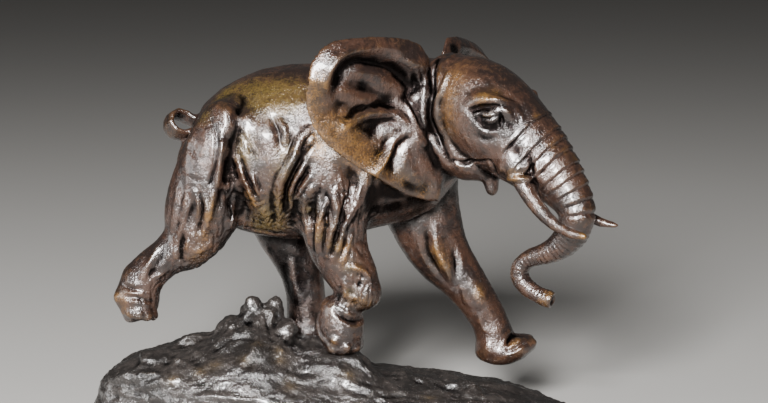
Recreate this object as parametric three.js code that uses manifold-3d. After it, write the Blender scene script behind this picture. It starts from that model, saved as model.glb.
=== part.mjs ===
// A bronze of a young elephant at a run, with spread ears, on a craggy mound.
// Millimetres, +Z up. The elephant runs towards +X and its right side faces -Y.
// The origin is the middle of the mound's flat underside.
import * as THREE from "three";
import { ImprovedNoise } from "three/addons/math/ImprovedNoise.js";
import { LoftGeometry } from "three/addons/geometries/LoftGeometry.js";
import { mergeVertices } from "three/addons/utils/BufferGeometryUtils.js";
import Module from "manifold-3d";

const wasm = await Module();
wasm.setup();

// Driving dimensions
const figureLength = 194; // trailing hind foot to far tusk tip, along X
const moundLength = 192;
const moundDepth = 88;
const groundHeight = 28; // the ground under the near forefoot, above the underside
const rimHeight = 5; // the mound's upright edge
const earThickness = 2.6;
const socketDepth = 3; // how far a planted foot stands in the ground
const footClearance = 0.3; // round a planted foot, between the two castings

// The pose and proportions are written for a figure this long and take its scale.
const POSE_LENGTH = 194;
const figureScale = figureLength / POSE_LENGTH;
const NEAR = -1; // the side the head turns to
const FAR = 1;
const ACROSS = new THREE.Vector3(0, 1, 0);

// The head's own frame: u forwards, v to the elephant's left, w up, turned about the neck.
const headTurn = THREE.MathUtils.degToRad(-28);
const headPivot = new THREE.Vector3(37, -2, 0);
const headFrame = new THREE.Matrix4()
  .makeTranslation(headPivot.x, headPivot.y, headPivot.z)
  .multiply(new THREE.Matrix4().makeRotationZ(headTurn));

// A skin through closed rings, drawn in to a point in the middle of each end.
function closedLoft(rings) {
  const pointRing = (points) => {
    const middle = points.reduce((sum, point) => sum.add(point), new THREE.Vector3());
    return points.map(() => middle.clone().divideScalar(points.length));
  };
  return new LoftGeometry([pointRing(rings[0]), ...rings, pointRing(rings.at(-1))]);
}

// A closed manifold-3d solid from a three.js geometry, facing out.
function solid(geometry) {
  const bare = new THREE.BufferGeometry().copy(geometry);
  bare.deleteAttribute("normal").deleteAttribute("uv");
  const merged = mergeVertices(bare, 1e-4);
  const corners = Array.from(merged.index.array);
  const faces = [];
  for (let i = 0; i < corners.length; i += 3) {
    const face = corners.slice(i, i + 3);
    if (new Set(face).size === 3) faces.push(...face);
  }
  const build = (triVerts) =>
    new wasm.Manifold(
      new wasm.Mesh({ numProp: 3, vertProperties: merged.attributes.position.array, triVerts })
    );
  const made = build(new Uint32Array(faces));
  return made.volume() > 0 ? made : build(new Uint32Array(faces).reverse());
}

function geometryOf(manifold) {
  const mesh = manifold.getMesh();
  const position = new Float32Array(mesh.numVert * 3);
  for (let i = 0; i < mesh.numVert; i++)
    position.set(mesh.vertProperties.subarray(i * mesh.numProp, i * mesh.numProp + 3), i * 3);
  return new THREE.BufferGeometry()
    .setAttribute("position", new THREE.BufferAttribute(position, 3))
    .setIndex(new THREE.BufferAttribute(mesh.triVerts, 1));
}

const joined = (solids) => solids.reduce((whole, next) => whole.add(next));

// One closed ring of a limb: centre, the two radii and the two directions they lie along.
function ring(centre, inPlane, sideways, thick, wide, sides, squareness) {
  const points = [];
  for (let i = 0; i < sides; i++) {
    const angle = (i / sides) * 2 * Math.PI;
    const [c, s] = [Math.cos(angle), Math.sin(angle)];
    const full = (x) => Math.sign(x) * Math.abs(x) ** (2 / squareness);
    points.push(
      centre
        .clone()
        .addScaledVector(inPlane, thick * full(c))
        .addScaledVector(sideways, -wide * full(s))
    );
  }
  return points;
}

// A limb is a loft through stations [x, y, z, half thickness, half width], with domed ends.
// pitch is the distance between its rings. groove cuts every second ring in by that share.
function limb(stations, options = {}) {
  const { sides = 14, pitch = 5, across = ACROSS, squareness = 2 } = options;
  const { domes = [0.7, 0.7], grooves = null, grow = 0 } = options;
  const centres = stations.map(([x, y, z]) => new THREE.Vector3(x, y, z));
  const girths = stations.map(([, , , thick, wide]) => new THREE.Vector3(thick, wide, 0));
  const path = new THREE.CatmullRomCurve3(centres, false, "centripetal");
  const girth = new THREE.CatmullRomCurve3(girths, false, "centripetal");
  const rows = Math.max(3, Math.round(path.getLength() / pitch));
  const sectionAt = (t, along, shrink) => {
    const tangent = path.getTangent(t);
    const sideways = across.clone().addScaledVector(tangent, -across.dot(tangent)).normalize();
    const inPlane = new THREE.Vector3().crossVectors(tangent, sideways);
    const { x: thick, y: wide } = girth.getPoint(t);
    const centre = path.getPoint(t).addScaledVector(tangent, along * (thick + grow));
    const size = [(thick + grow) * shrink, (wide + grow) * shrink];
    return ring(centre, inPlane, sideways, ...size, sides, squareness);
  };
  const DOME_RINGS = [0.74, 0.4];
  const domeAt = (t, way, height) =>
    DOME_RINGS.map((share) => {
      const angle = (share * Math.PI) / 2;
      return sectionAt(t, way * height * Math.sin(angle), Math.cos(angle));
    });
  const sections = domes[0] ? domeAt(0, -1, domes[0]) : [];
  for (let i = 0; i <= rows; i++) {
    const t = path.getUtoTmapping(i / rows);
    const cut = grooves && i % 2 && t > grooves.from && t < grooves.to ? grooves.depth : 0;
    sections.push(sectionAt(t, 0, 1 - cut));
  }
  if (domes[1]) sections.push(...domeAt(1, 1, domes[1]).reverse());
  return closedLoft(sections);
}

// A rounded lump, such as an eyeball, with its long axis turned in the XZ plane.
function lump([x, y, z], [long, wide, high], tilt = 0, detail = [8, 5]) {
  return new THREE.SphereGeometry(1, ...detail)
    .scale(long, wide, high)
    .rotateY(-THREE.MathUtils.degToRad(tilt))
    .translate(x, y, z);
}

// Trunk of the body, from rump to breast, with the neck
const torso = limb(
  [
    [-58, 0, 76.5, 8, 11],
    [-53, 0, 75.5, 18.5, 18],
    [-44, 0, 76, 26.4, 23.5],
    [-33, 0, 77, 31, 26],
    [-19.5, 0, 78.4, 34.3, 27.5],
    [-9.7, 0, 78.8, 34.4, 28],
    [2, 0, 79.8, 33.5, 27],
    [13.7, 0, 80.4, 32, 25],
    [25, 0, 80.6, 29.5, 22],
    [35, 0, 82, 25, 18],
    [42, 0, 84, 18, 13],
  ],
  { sides: 20, pitch: 8.5, squareness: 2.15, domes: [0.4, 0.35] }
);
const neck = limb(
  [
    [18, 1, 88, 24, 19],
    [30, -1, 93, 22.5, 17],
    [40, -4, 97, 20, 15],
    [50, -9, 99, 16, 12.5],
  ],
  { sides: 16, pitch: 11, domes: [0, 0] }
);

// Legs. The near hind leg trails, the far hind leg is planted, the near foreleg is folded
// with its toes on the ground, and the far foreleg reaches forwards.
const trailingHindLeg = [
  [-33, -11, 98, 8, 7],
  [-36, -14, 92, 14.6, 12],
  [-42.5, -15, 77, 16.5, 13],
  [-49.5, -15, 61, 15.5, 12],
  [-53.6, -15, 50, 13.3, 10.5],
  [-58.4, -15, 43.2, 10.2, 9.4],
  [-64.8, -15, 39.6, 7.6, 8.2],
  [-71.2, -15, 34.2, 7.7, 7.8],
  [-75.6, -15, 28, 8.8, 8.4],
  [-76.2, -15, 22, 9, 9.2],
  [-74.4, -15, 17.6, 7.2, 8.6],
];
const plantedHindLeg = [
  [-26, 14, 66, 15, 12],
  [-20, 15, 46, 12.3, 10.5],
  [-14.5, 15.5, 32, 9.4, 8.8],
  [-12.3, 15.5, 21.5, 7.9, 8],
  [-11.8, 15.5, 11.5, 8, 8.3],
  [-12, 15.5, 4, 8.8, 9],
];
const foldedForeleg = [
  [7.4, -11.6, 93, 8, 7.6],
  [6, -13.4, 84, 12.6, 10.6],
  [2.6, -15, 68, 14.6, 12],
  [-0.2, -15.5, 53, 13.3, 11.5],
  [1.8, -15.5, 43, 11.6, 10],
  [5.6, -15.5, 35, 10.2, 9.2],
  [9.3, -15.5, 28.5, 9.4, 8.8],
  [10, -15.5, 24.6, 8.8, 8.4],
];
const foldedForefoot = [
  [1.4, -15.5, 20, 8.1, 8.2],
  [2.3, -15.5, 14.5, 9.4, 9],
  [2.8, -15.5, 9, 9, 9],
  [3.2, -15.5, 3.8, 6.8, 7.6],
];
const reachingForeleg = [
  [31, 12, 74, 17.4, 11],
  [33.4, 13, 57, 15.8, 11.5],
  [37, 13.5, 46, 14, 11],
  [41.4, 13.5, 36.9, 12.2, 10.2],
  [50.2, 13.5, 26, 9.2, 8.8],
  [57, 13.5, 16.6, 7.9, 7.8],
  [61.5, 13.5, 8.5, 7.5, 7.6],
  [63.5, 13.5, 2.5, 7.8, 8.2],
];
const reachingForefoot = [
  [58.5, 13.5, -1.6, 5.4, 7.2],
  [63, 13.5, -2, 6.6, 9],
  [69, 13.5, -1.8, 6.5, 9.8],
  [74, 13.5, -0.6, 5, 9],
  [77.6, 13.5, 0.6, 3.4, 6.4],
];
const LEG = { sides: 12, pitch: 7, domes: [0, 0.3] };
const FOOT = { sides: 12, pitch: 5, domes: [0.7, 0.3] };
const freeLegs = [
  limb(trailingHindLeg, LEG),
  limb(reachingForeleg, LEG),
  limb(reachingForefoot, { ...FOOT, domes: [0.6, 0.6] }),
];

// Blunt nails round a foot's toes. The row starts from the foot's middle at the nails' height
// and its half length and half width there. Each angle is taken from +X towards +Y, and
// slope lifts the nails along X.
function toenails([x, y, z], [along, across, slope], angles, size, grow = 0) {
  return angles.map((degrees) => {
    const turn = THREE.MathUtils.degToRad(degrees);
    const forwards = along * Math.cos(turn);
    const spot = [x + forwards, y + across * Math.sin(turn), z + slope * forwards];
    return new THREE.SphereGeometry(1, 5, 4)
      .scale(size * 0.75 + grow, size + grow, size * 0.95 + grow)
      .rotateZ(turn)
      .translate(...spot);
  });
}
const freeNails = [
  ...toenails([-75, -15, 18.6], [6.4, 8, -0.2], [-148, -118, -88, -58, -26], 2.7),
  ...toenails([70.8, 13.5, -0.6], [7.2, 7.6, 0.1], [-75, -38, 0, 38], 2.6),
];

// The planted hind foot and the folded forefoot stand in the mound. With grow, everything
// of them is that much bigger, which makes the room they need in it.
function plantedParts(grow = 0) {
  return [
    limb(plantedHindLeg, { ...LEG, domes: [0, 0.16], grow }),
    limb(foldedForeleg, { ...LEG, domes: [0, 0.7], grow }),
    limb(foldedForefoot, { ...FOOT, grow }),
    ...toenails([-11.8, 15.5, 5.6], [7.6, 7.8, 0], [-60, -20, 20], 2.6, grow),
    ...toenails([2.6, -15.5, 5.4], [7.4, 7.2, 0], [-115, -75, -35, 5], 2.7, grow),
  ];
}

// Tail, a flat ribbon that curls once round against the rump
const tailLoop = {
  centre: new THREE.Vector3(-60.4, 0.4, 89.2),
  axis: new THREE.Vector3(0.45, -0.72, 0.52).normalize(),
  radius: 4.8,
  halfThickness: 1.5,
  halfWidth: 4.7,
};
function tailRibbon({ centre, axis, radius, halfThickness, halfWidth }) {
  const forwards = new THREE.Vector3(1, 0, 0);
  forwards.addScaledVector(axis, -axis.x).normalize();
  const upwards = new THREE.Vector3().crossVectors(axis, forwards);
  const stations = [[-49, 6, 90, 3.4, 4]];
  for (let degrees = 38; degrees <= 328; degrees += 36.25) {
    const turn = THREE.MathUtils.degToRad(degrees);
    const spot = centre
      .clone()
      .addScaledVector(forwards, radius * Math.cos(turn))
      .addScaledVector(upwards, radius * Math.sin(turn));
    stations.push([...spot.toArray(), halfThickness, halfWidth]);
  }
  return limb(stations, { sides: 6, pitch: 3.6, across: axis, squareness: 2.6 });
}

// Head, in its own frame
const skull = limb(
  [
    [7, 0, 110, 9, 11.5],
    [16.2, 0, 103, 16.4, 16],
    [25.6, 0, 94.6, 18.6, 18.2],
    [35, 0, 87.2, 17.4, 16.2],
    [43.7, 0, 80.6, 15.2, 13],
    [51, 0, 74.3, 12.4, 11],
  ],
  { sides: 16, pitch: 7, domes: [0.75, 0] }
);
const upperTrunk = limb(
  [
    [42, 0, 82, 14.6, 12.4],
    [49.5, 0, 76, 13.2, 11.4],
    [54.6, 0, 71, 11.2, 10],
    [58.8, 0, 66, 9.2, 8.8],
    [61.4, 0, 61.6, 7.9, 7.8],
    [62.2, 0, 57, 7.4, 7.3],
  ],
  { sides: 12, pitch: 2.4, domes: [0, 0], grooves: { from: 0.1, to: 0.95, depth: 0.07 } }
);
const trunkCurl = limb(
  [
    [62.1, 0, 58.5, 7.4, 7.4],
    [61.4, 0, 54, 7.1, 7.1],
    [58.2, 0, 48.8, 6.2, 6.4],
    [54, 0, 45.2, 5.3, 5.6],
    [49, 0, 42.6, 4.4, 5],
    [43.2, 0, 40.6, 3.7, 4.4],
    [39, 0, 37.2, 3.7, 4.1],
    [38.4, 0, 33.4, 3.8, 3.9],
    [40.8, 0, 29.8, 3.6, 3.7],
    [44.8, 0, 27.2, 3.4, 3.5],
    [49.4, 0, 25.6, 3.4, 3.5],
    [52.4, 0, 25, 3.6, 3.8],
  ],
  { sides: 10, pitch: 3.4, domes: [0.5, 0.12], grooves: { from: 0, to: 0.5, depth: 0.05 } }
);
// The nostril is sunk into the trunk's tip.
const nostril = limb(
  [
    [49.6, 0, 25.6, 1.3, 1.6],
    [52.6, 0, 25, 2, 2.2],
    [56, 0, 24.3, 2.4, 2.6],
  ],
  { sides: 8, pitch: 3, domes: [0.4, 0] }
);
const jaw = limb(
  [
    [4, 0, 89, 14, 14],
    [10.7, 0, 82, 10.4, 13.4],
    [17, 0, 76.4, 8.6, 11],
    [22.6, 0, 73.6, 5.4, 7.2],
    [25.8, 0, 71.2, 3.6, 4.4],
    [26.8, 0, 68, 2.9, 3.2],
    [26.6, 0, 65.2, 2.6, 2.8],
  ],
  { sides: 12, pitch: 5, domes: [0, 0.7] }
);

// One side's tusk, its sheath, brow and eye. side is NEAR or FAR.
function faceSide(side) {
  const tusk = limb(
    [
      [37, side * 9, 80, 3.6, 3.6],
      [43.4, side * 11, 72.4, 3.9, 3.7],
      [48, side * 12, 66.2, 3.4, 3.3],
      [52.4, side * 13, 61.6, 3.1, 3],
      [58.2, side * 14, 57, 2.7, 2.6],
      [65, side * 15, 54, 2.2, 2.1],
      [71.8, side * 15.6, 53, 1.4, 1.4],
    ],
    { sides: 8, pitch: 5.5, domes: [0, 0.8] }
  );
  const sheath = limb(
    [
      [33, side * 8.6, 88, 7, 6],
      [38.6, side * 9.6, 80.4, 6.4, 5.6],
      [43, side * 10.6, 74.6, 5.4, 5],
    ],
    { sides: 10, pitch: 6, domes: [0, 0.25] }
  );
  const brow = limb(
    [
      [25, side * 15, 101.6, 2.4, 2.2],
      [31, side * 15.6, 102.2, 3.2, 2.6],
      [37.6, side * 14, 98.8, 3.3, 2.8],
      [41.4, side * 11.6, 92.6, 2, 1.8],
    ],
    { sides: 6, pitch: 5 }
  );
  const eye = lump([33.2, side * 15.8, 95.8], [4, 2.4, 2.7], -12, [8, 5]);
  return [tusk, sheath, brow, eye];
}

// Ear, a cast sheet whose outline runs round the root on the head.
// In [reach, height]: reach runs out from the root, height is above the ground.
const EAR_OUTLINE = [
  [-3, 117],
  [1.5, 122.4],
  [13, 125.4],
  [28, 126.1],
  [41, 124.2],
  [48.6, 117],
  [51, 105.5],
  [47, 92],
  [38, 82.6],
  [21.5, 71.5],
  [3, 62.4],
  [-7.4, 60.2],
  [-8.2, 69],
  [-5.4, 84],
  [-3.6, 100],
];
const EAR_MIDDLE = [5, 93];
// Each ear's root along u and v, its sweep back from straight out, and how much its height
// drops with its reach.
const NEAR_EAR = { side: NEAR, root: [4, 13], sweep: 32, droop: 0 };
const FAR_EAR = { side: FAR, root: [0.5, 13], sweep: 4, droop: 0.26 };
const earBevel = 0.55; // how fast the sheet thins at its rim

const bell = (x, width) => Math.exp(-((x / width) ** 2));

// Distance from [a, b] to the run of straight lines through points.
function distanceTo(points, a, b) {
  let least = Infinity;
  const line = new THREE.Line3();
  const spot = new THREE.Vector3(a, b, 0);
  const foot = new THREE.Vector3();
  for (let i = 1; i < points.length; i++) {
    line.start.set(...points[i - 1], 0);
    line.end.set(...points[i], 0);
    line.closestPointToPoint(spot, true, foot);
    least = Math.min(least, foot.distanceTo(spot));
  }
  return least;
}

// The ear's ribs and the roll of its upper rim, each [line, width, height].
const EAR_FOLDS = [
  [[[46, 110], [40, 117.5], [26, 120.5], [12, 119], [3, 113]], 5, 4.6],
  [[[0, 92], [12, 95], [24, 96], [36, 91]], 4, 1.8],
  [[[0, 86], [9, 86], [16, 79], [21, 72]], 3.6, 1.8],
  [[[-5, 64], [-5, 84], [-3, 104]], 3, 1.6],
];
const EAR_CUP = 6;

function earLift(a, b) {
  const cup = -EAR_CUP * bell(a - 18, 24) * bell(b - 101, 22);
  const curl = -0.004 * Math.max(0, a - 26) ** 2;
  const folds = EAR_FOLDS.map(([line, width, height]) =>
    height * bell(distanceTo(line, a, b), width)
  );
  return cup + curl + folds.reduce((sum, fold) => sum + fold);
}

function ear({ side, root, sweep, droop }, slices, stacks) {
  const outline = new THREE.SplineCurve(EAR_OUTLINE.map(([a, b]) => new THREE.Vector2(a, b)));
  outline.points.push(outline.points[0].clone());
  const sheet = new THREE.SphereGeometry(1, slices, stacks);
  const position = sheet.attributes.position;
  const angle = THREE.MathUtils.degToRad(sweep);
  const out = new THREE.Vector3(-Math.sin(angle), side * Math.cos(angle), 0);
  const face = new THREE.Vector3(Math.cos(angle), side * Math.sin(angle), 0);
  for (let i = 0; i < position.count; i++) {
    const [x, y, z] = [position.getX(i), position.getY(i), position.getZ(i)];
    const turn = (Math.atan2(z, x) / (2 * Math.PI) + 1) % 1;
    const rim = outline.getPointAt(turn);
    const spread = Math.min(1, Math.hypot(x, z));
    const a = THREE.MathUtils.lerp(EAR_MIDDLE[0], rim.x, spread);
    const b = THREE.MathUtils.lerp(EAR_MIDDLE[1], rim.y, spread);
    const half = (Math.sign(y) * Math.abs(y) ** earBevel * earThickness) / 2 / figureScale;
    const height = b - droop * Math.max(0, a - 3);
    const spot = new THREE.Vector3(root[0], side * root[1], height)
      .addScaledVector(out, a)
      .addScaledVector(face, earLift(a, b) + half);
    position.setXYZ(i, spot.x, spot.y, spot.z);
  }
  return sheet;
}

const headParts = [
  skull,
  upperTrunk,
  trunkCurl,
  jaw,
  ...faceSide(NEAR),
  ...faceSide(FAR),
  ear(NEAR_EAR, 32, 12),
  ear(FAR_EAR, 24, 9),
].map((part) => part.applyMatrix4(headFrame));

// Folds of loose hide on the near side, each [[x, z], ...] and its half width.
// They lie on whatever skin is under them, and the far side has the plainer ones again.
const FOLDS = [
  [[[-11, 61], [-10.2, 55], [-9, 49]], 1.7],
  [[[-3.2, 62], [-5.6, 50], [-5.6, 41]], 2],
  [[[0.5, 54], [-3, 46], [-3.8, 38]], 1.6],
  [[[11.5, 71], [9.5, 62], [3.6, 54], [0.4, 46]], 2.2],
  [[[0.4, 70], [2.2, 60], [0.8, 53]], 1.9],
  [[[-10.5, 90], [-16, 80], [-19.2, 72], [-21, 61]], 2],
  [[[-6.5, 90], [-12.5, 79], [-16, 70], [-17.4, 61]], 2],
  [[[-6.7, 74.5], [-12, 68], [-14.6, 61]], 1.6],
  [[[-37, 80], [-33.5, 69], [-29.6, 61]], 1.8],
  [[[-43.4, 92], [-42.6, 83], [-44.2, 70]], 2],
  [[[-45, 65], [-48, 56], [-49, 47]], 1.9],
  [[[-40.8, 50], [-37, 60]], 1.5],
  [[[-51.2, 93], [-54.6, 82], [-55.4, 72]], 1.7],
];
const FAR_FOLDS = FOLDS.slice(5).filter((row, i) => i % 2 === 0);

// The skin's point at [x, z], seen from one side.
function skinPoint(body, x, z, side) {
  const from = new THREE.Vector3(x, side * POSE_LENGTH, z);
  const ray = new THREE.Raycaster(from, new THREE.Vector3(0, -side, 0));
  const [hit] = ray.intersectObject(body);
  return hit ? hit.point : null;
}

function fold(body, [line, half], side) {
  const run = new THREE.SplineCurve(line.map(([x, z]) => new THREE.Vector2(x, z)));
  const STEPS = 3;
  const stations = [];
  for (let i = 0; i <= STEPS; i++) {
    const { x, y: z } = run.getPoint(i / STEPS);
    const spot = skinPoint(body, x, z, side);
    const girth = half * Math.sin(Math.PI * (0.1 + (0.8 * i) / STEPS));
    const sunk = spot && spot.y - side * 0.45 * girth;
    if (spot) stations.push([spot.x, sunk, spot.z, girth * 1.3, girth]);
  }
  return limb(stations, { sides: 5, pitch: 8, domes: [0, 0] });
}

const onGround = (manifold) =>
  manifold.scale([figureScale, figureScale, figureScale]).translate([0, 0, groundHeight]);

const bareBody = joined([torso, neck, ...freeLegs, ...plantedParts()].map(solid));
const bodyMesh = new THREE.Mesh(geometryOf(bareBody));
const folds = [
  ...FOLDS.map((row) => fold(bodyMesh, row, NEAR)),
  ...FAR_FOLDS.map((row) => fold(bodyMesh, row, FAR)),
];
const details = [tailRibbon(tailLoop), ...freeNails, ...folds, ...headParts];
const figure = onGround(
  joined([bareBody, ...details.map(solid)]).subtract(solid(nostril.applyMatrix4(headFrame)))
);

// Mound. A planted foot is [x, y, sole above the ground, reach of the level pad under it].
const PLANTED_FEET = [
  [-12, 15.5, 2.6, 15],
  [1, -15.5, 0.2, 13],
].map((row) => row.map((value) => value * figureScale));

// The ridge line along the mound, [x as a share of half its length, height above the ground].
const RIDGE = [
  [-1, -16],
  [-0.94, -9],
  [-0.85, -3],
  [-0.72, 0.6],
  [-0.58, 4],
  [-0.46, 9],
  [-0.35, 12],
  [-0.24, 10],
  [-0.1, 0],
  [0.08, -6],
  [0.3, -9.5],
  [0.5, -12.5],
  [0.7, -16.5],
  [0.86, -21],
  [1, -25],
];
// Broken rocks along the ridge and down the flanks: [x share, y share, height above the
// ground, half length, half depth, half height, turn].
const CRAGS = [
  [-0.345, 0.06, 13, 5, 6, 9.4, 15],
  [-0.298, -0.06, 9, 4.6, 6, 8.4, -30],
  [-0.25, 0.08, 12.6, 4.6, 5.4, 8.6, 40],
  [-0.195, -0.08, 6.4, 5.4, 6.4, 8, -15],
  [-0.43, -0.04, 8.4, 7, 8, 6.6, 25],
  [-0.56, 0.04, 2, 9, 9, 5.4, -10],
  [-0.3, -0.34, 3.4, 8, 7, 7.6, 60],
  [-0.5, -0.42, -2, 9, 7, 7, -40],
  [-0.72, -0.24, -2.6, 9, 9, 6, 20],
  [-0.15, -0.46, -4, 8, 6.4, 6, 10],
  [0.12, -0.5, -10, 8, 6, 5, -25],
  [0.28, -0.1, -14.6, 11, 10, 6, 30],
  [0.52, -0.2, -17, 12, 10, 7, -20],
  [-0.4, 0.42, 2, 9, 8, 7, -20],
];
const noise = new ImprovedNoise();
const ridgeCurve = new THREE.SplineCurve(RIDGE.map(([x, z]) => new THREE.Vector2(x, z)));

// Height of the ridge at a share of the mound's length, by halving on the curve.
function ridgeAt(share) {
  let [low, high] = [0, 1];
  for (let i = 0; i < 24; i++) {
    const middle = (low + high) / 2;
    if (ridgeCurve.getPoint(middle).x < share) low = middle;
    else high = middle;
  }
  return groundHeight + ridgeCurve.getPoint(low).y;
}

const smooth = (x) => THREE.MathUtils.smoothstep(x, 0, 1);

function moundHeight(x, y) {
  const [sx, sy] = [(2 * x) / moundLength, (2 * y) / moundDepth];
  const across = Math.max(0, 1 - Math.abs(sy) ** 2.4) ** 0.6;
  const inwards = Math.max(0, 1 - Math.hypot(sx, sy));
  let height = rimHeight + Math.max(0, ridgeAt(sx) - rimHeight) * across;
  const rough = noise.noise(x / 11, y / 8, 3) * 2.6 + noise.noise(x / 5, y / 4.4, 9) * 1.3;
  height += rough * smooth(inwards * 5);
  for (const [fx, fy, sole, reach] of PLANTED_FEET) {
    const near = smooth(1.6 - Math.hypot(x - fx, y - fy) / reach);
    height = THREE.MathUtils.lerp(height, groundHeight + sole + socketDepth, near);
  }
  return Math.max(rimHeight, height);
}

// The mound's outline on the ground: a full oval with a wavering edge.
function rimPoint(turn, share) {
  const [c, s] = [Math.cos(turn), Math.sin(turn)];
  const full = (x) => Math.sign(x) * Math.abs(x) ** 0.86;
  const waver = 1 - 0.03 * Math.abs(Math.sin(2 * turn)) * (1 + Math.sin(7 * turn));
  return [(full(c) * moundLength * waver * share) / 2, (full(s) * moundDepth * waver * share) / 2];
}

function mound() {
  const COLUMNS = 40;
  const SHARES = [1, 0.96, 0.9, 0.82, 0.72, 0.62, 0.51, 0.4, 0.29, 0.18, 0.09];
  const section = (share, heightAt) =>
    Array.from({ length: COLUMNS }, (_, i) => {
      const [x, y] = rimPoint((i / COLUMNS) * 2 * Math.PI, share);
      return new THREE.Vector3(x, y, heightAt(x, y));
    });
  const sections = [section(1, () => 0), section(1, () => rimHeight)];
  for (const share of SHARES.slice(1)) sections.push(section(share, moundHeight));
  return closedLoft(sections);
}

// A rock broken into facets, with its own turn.
function crag([cx, cy, height, long, deep, tall, degrees]) {
  const rough = mergeVertices(new THREE.IcosahedronGeometry(1, 1).deleteAttribute("normal"));
  const position = rough.attributes.position;
  const place = new THREE.Vector3((cx * moundLength) / 2, (cy * moundDepth) / 2, 0);
  place.z = groundHeight + height;
  const spot = new THREE.Vector3();
  for (let i = 0; i < position.count; i++) {
    spot.fromBufferAttribute(position, i);
    const { x, y, z } = spot;
    spot.multiplyScalar(1 + 0.5 * noise.noise(x * 1.3 + cx * 9, y * 1.3 + cy * 7, z * 1.3));
    position.setXYZ(i, ...spot.toArray());
  }
  rough.scale(long, deep, tall).rotateZ(THREE.MathUtils.degToRad(degrees));
  return rough.translate(place.x, place.y, place.z);
}

const rocks = joined([mound(), ...CRAGS.map(crag)].map(solid));
const footRoom = onGround(joined(plantedParts(footClearance / figureScale).map(solid)));

const elephantBronze = new THREE.MeshStandardMaterial({
  color: 0x4a2f22,
  roughness: 0.32,
  metalness: 0.9,
});
const moundBronze = new THREE.MeshStandardMaterial({
  color: 0x2c2724,
  roughness: 0.45,
  metalness: 0.85,
});

function piece(name, manifold, material) {
  const mesh = new THREE.Mesh(geometryOf(manifold), material);
  mesh.name = name;
  return mesh;
}

const sculpture = new THREE.Group();
sculpture.add(piece("elephant", figure, elephantBronze));
sculpture.add(piece("rocky_mound", rocks.subtract(footRoom), moundBronze));

export default sculpture;
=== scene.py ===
import math

import bmesh
import bpy
import numpy as np
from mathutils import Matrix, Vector, noise
from mathutils.bvhtree import BVHTree
from mathutils.kdtree import KDTree


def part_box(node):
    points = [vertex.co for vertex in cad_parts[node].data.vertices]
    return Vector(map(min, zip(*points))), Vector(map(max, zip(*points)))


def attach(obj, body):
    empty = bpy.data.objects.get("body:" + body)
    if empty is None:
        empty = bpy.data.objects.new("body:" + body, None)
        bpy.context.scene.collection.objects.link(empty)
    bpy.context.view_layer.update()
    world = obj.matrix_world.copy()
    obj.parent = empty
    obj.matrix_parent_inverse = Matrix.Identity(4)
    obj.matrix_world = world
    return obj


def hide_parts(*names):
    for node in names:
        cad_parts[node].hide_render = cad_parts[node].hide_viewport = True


# Modelling is done in millimetres on dense skins of the two castings. The scene is in metres.
MM = 0.001

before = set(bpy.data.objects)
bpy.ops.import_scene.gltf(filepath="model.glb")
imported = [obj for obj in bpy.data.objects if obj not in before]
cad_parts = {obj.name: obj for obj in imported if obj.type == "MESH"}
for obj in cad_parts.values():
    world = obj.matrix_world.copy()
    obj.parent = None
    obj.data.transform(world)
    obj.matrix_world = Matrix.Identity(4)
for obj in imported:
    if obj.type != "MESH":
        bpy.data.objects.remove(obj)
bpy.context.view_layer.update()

ELEPHANT_VOXEL = 0.52
MOUND_VOXEL = 0.8
ELEPHANT_TRIANGLES = 196_000
MOUND_TRIANGLES = 150_000

# The head is turned about a point of the neck; left and right mirror in its own plane.
HEAD_PIVOT = np.array([37.0, -2.0, 28.0])
HEAD_TURN = math.radians(-28)

# Each ear's root along and across the head, its sweep back and its droop per millimetre of reach.
NEAR_EAR = {"side": -1, "root": (4.0, 13.0), "sweep": 32.0, "droop": 0.0}
FAR_EAR = {"side": 1, "root": (0.5, 13.0), "sweep": 4.0, "droop": 0.26}
EAR_THICKNESS = 2.6

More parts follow.
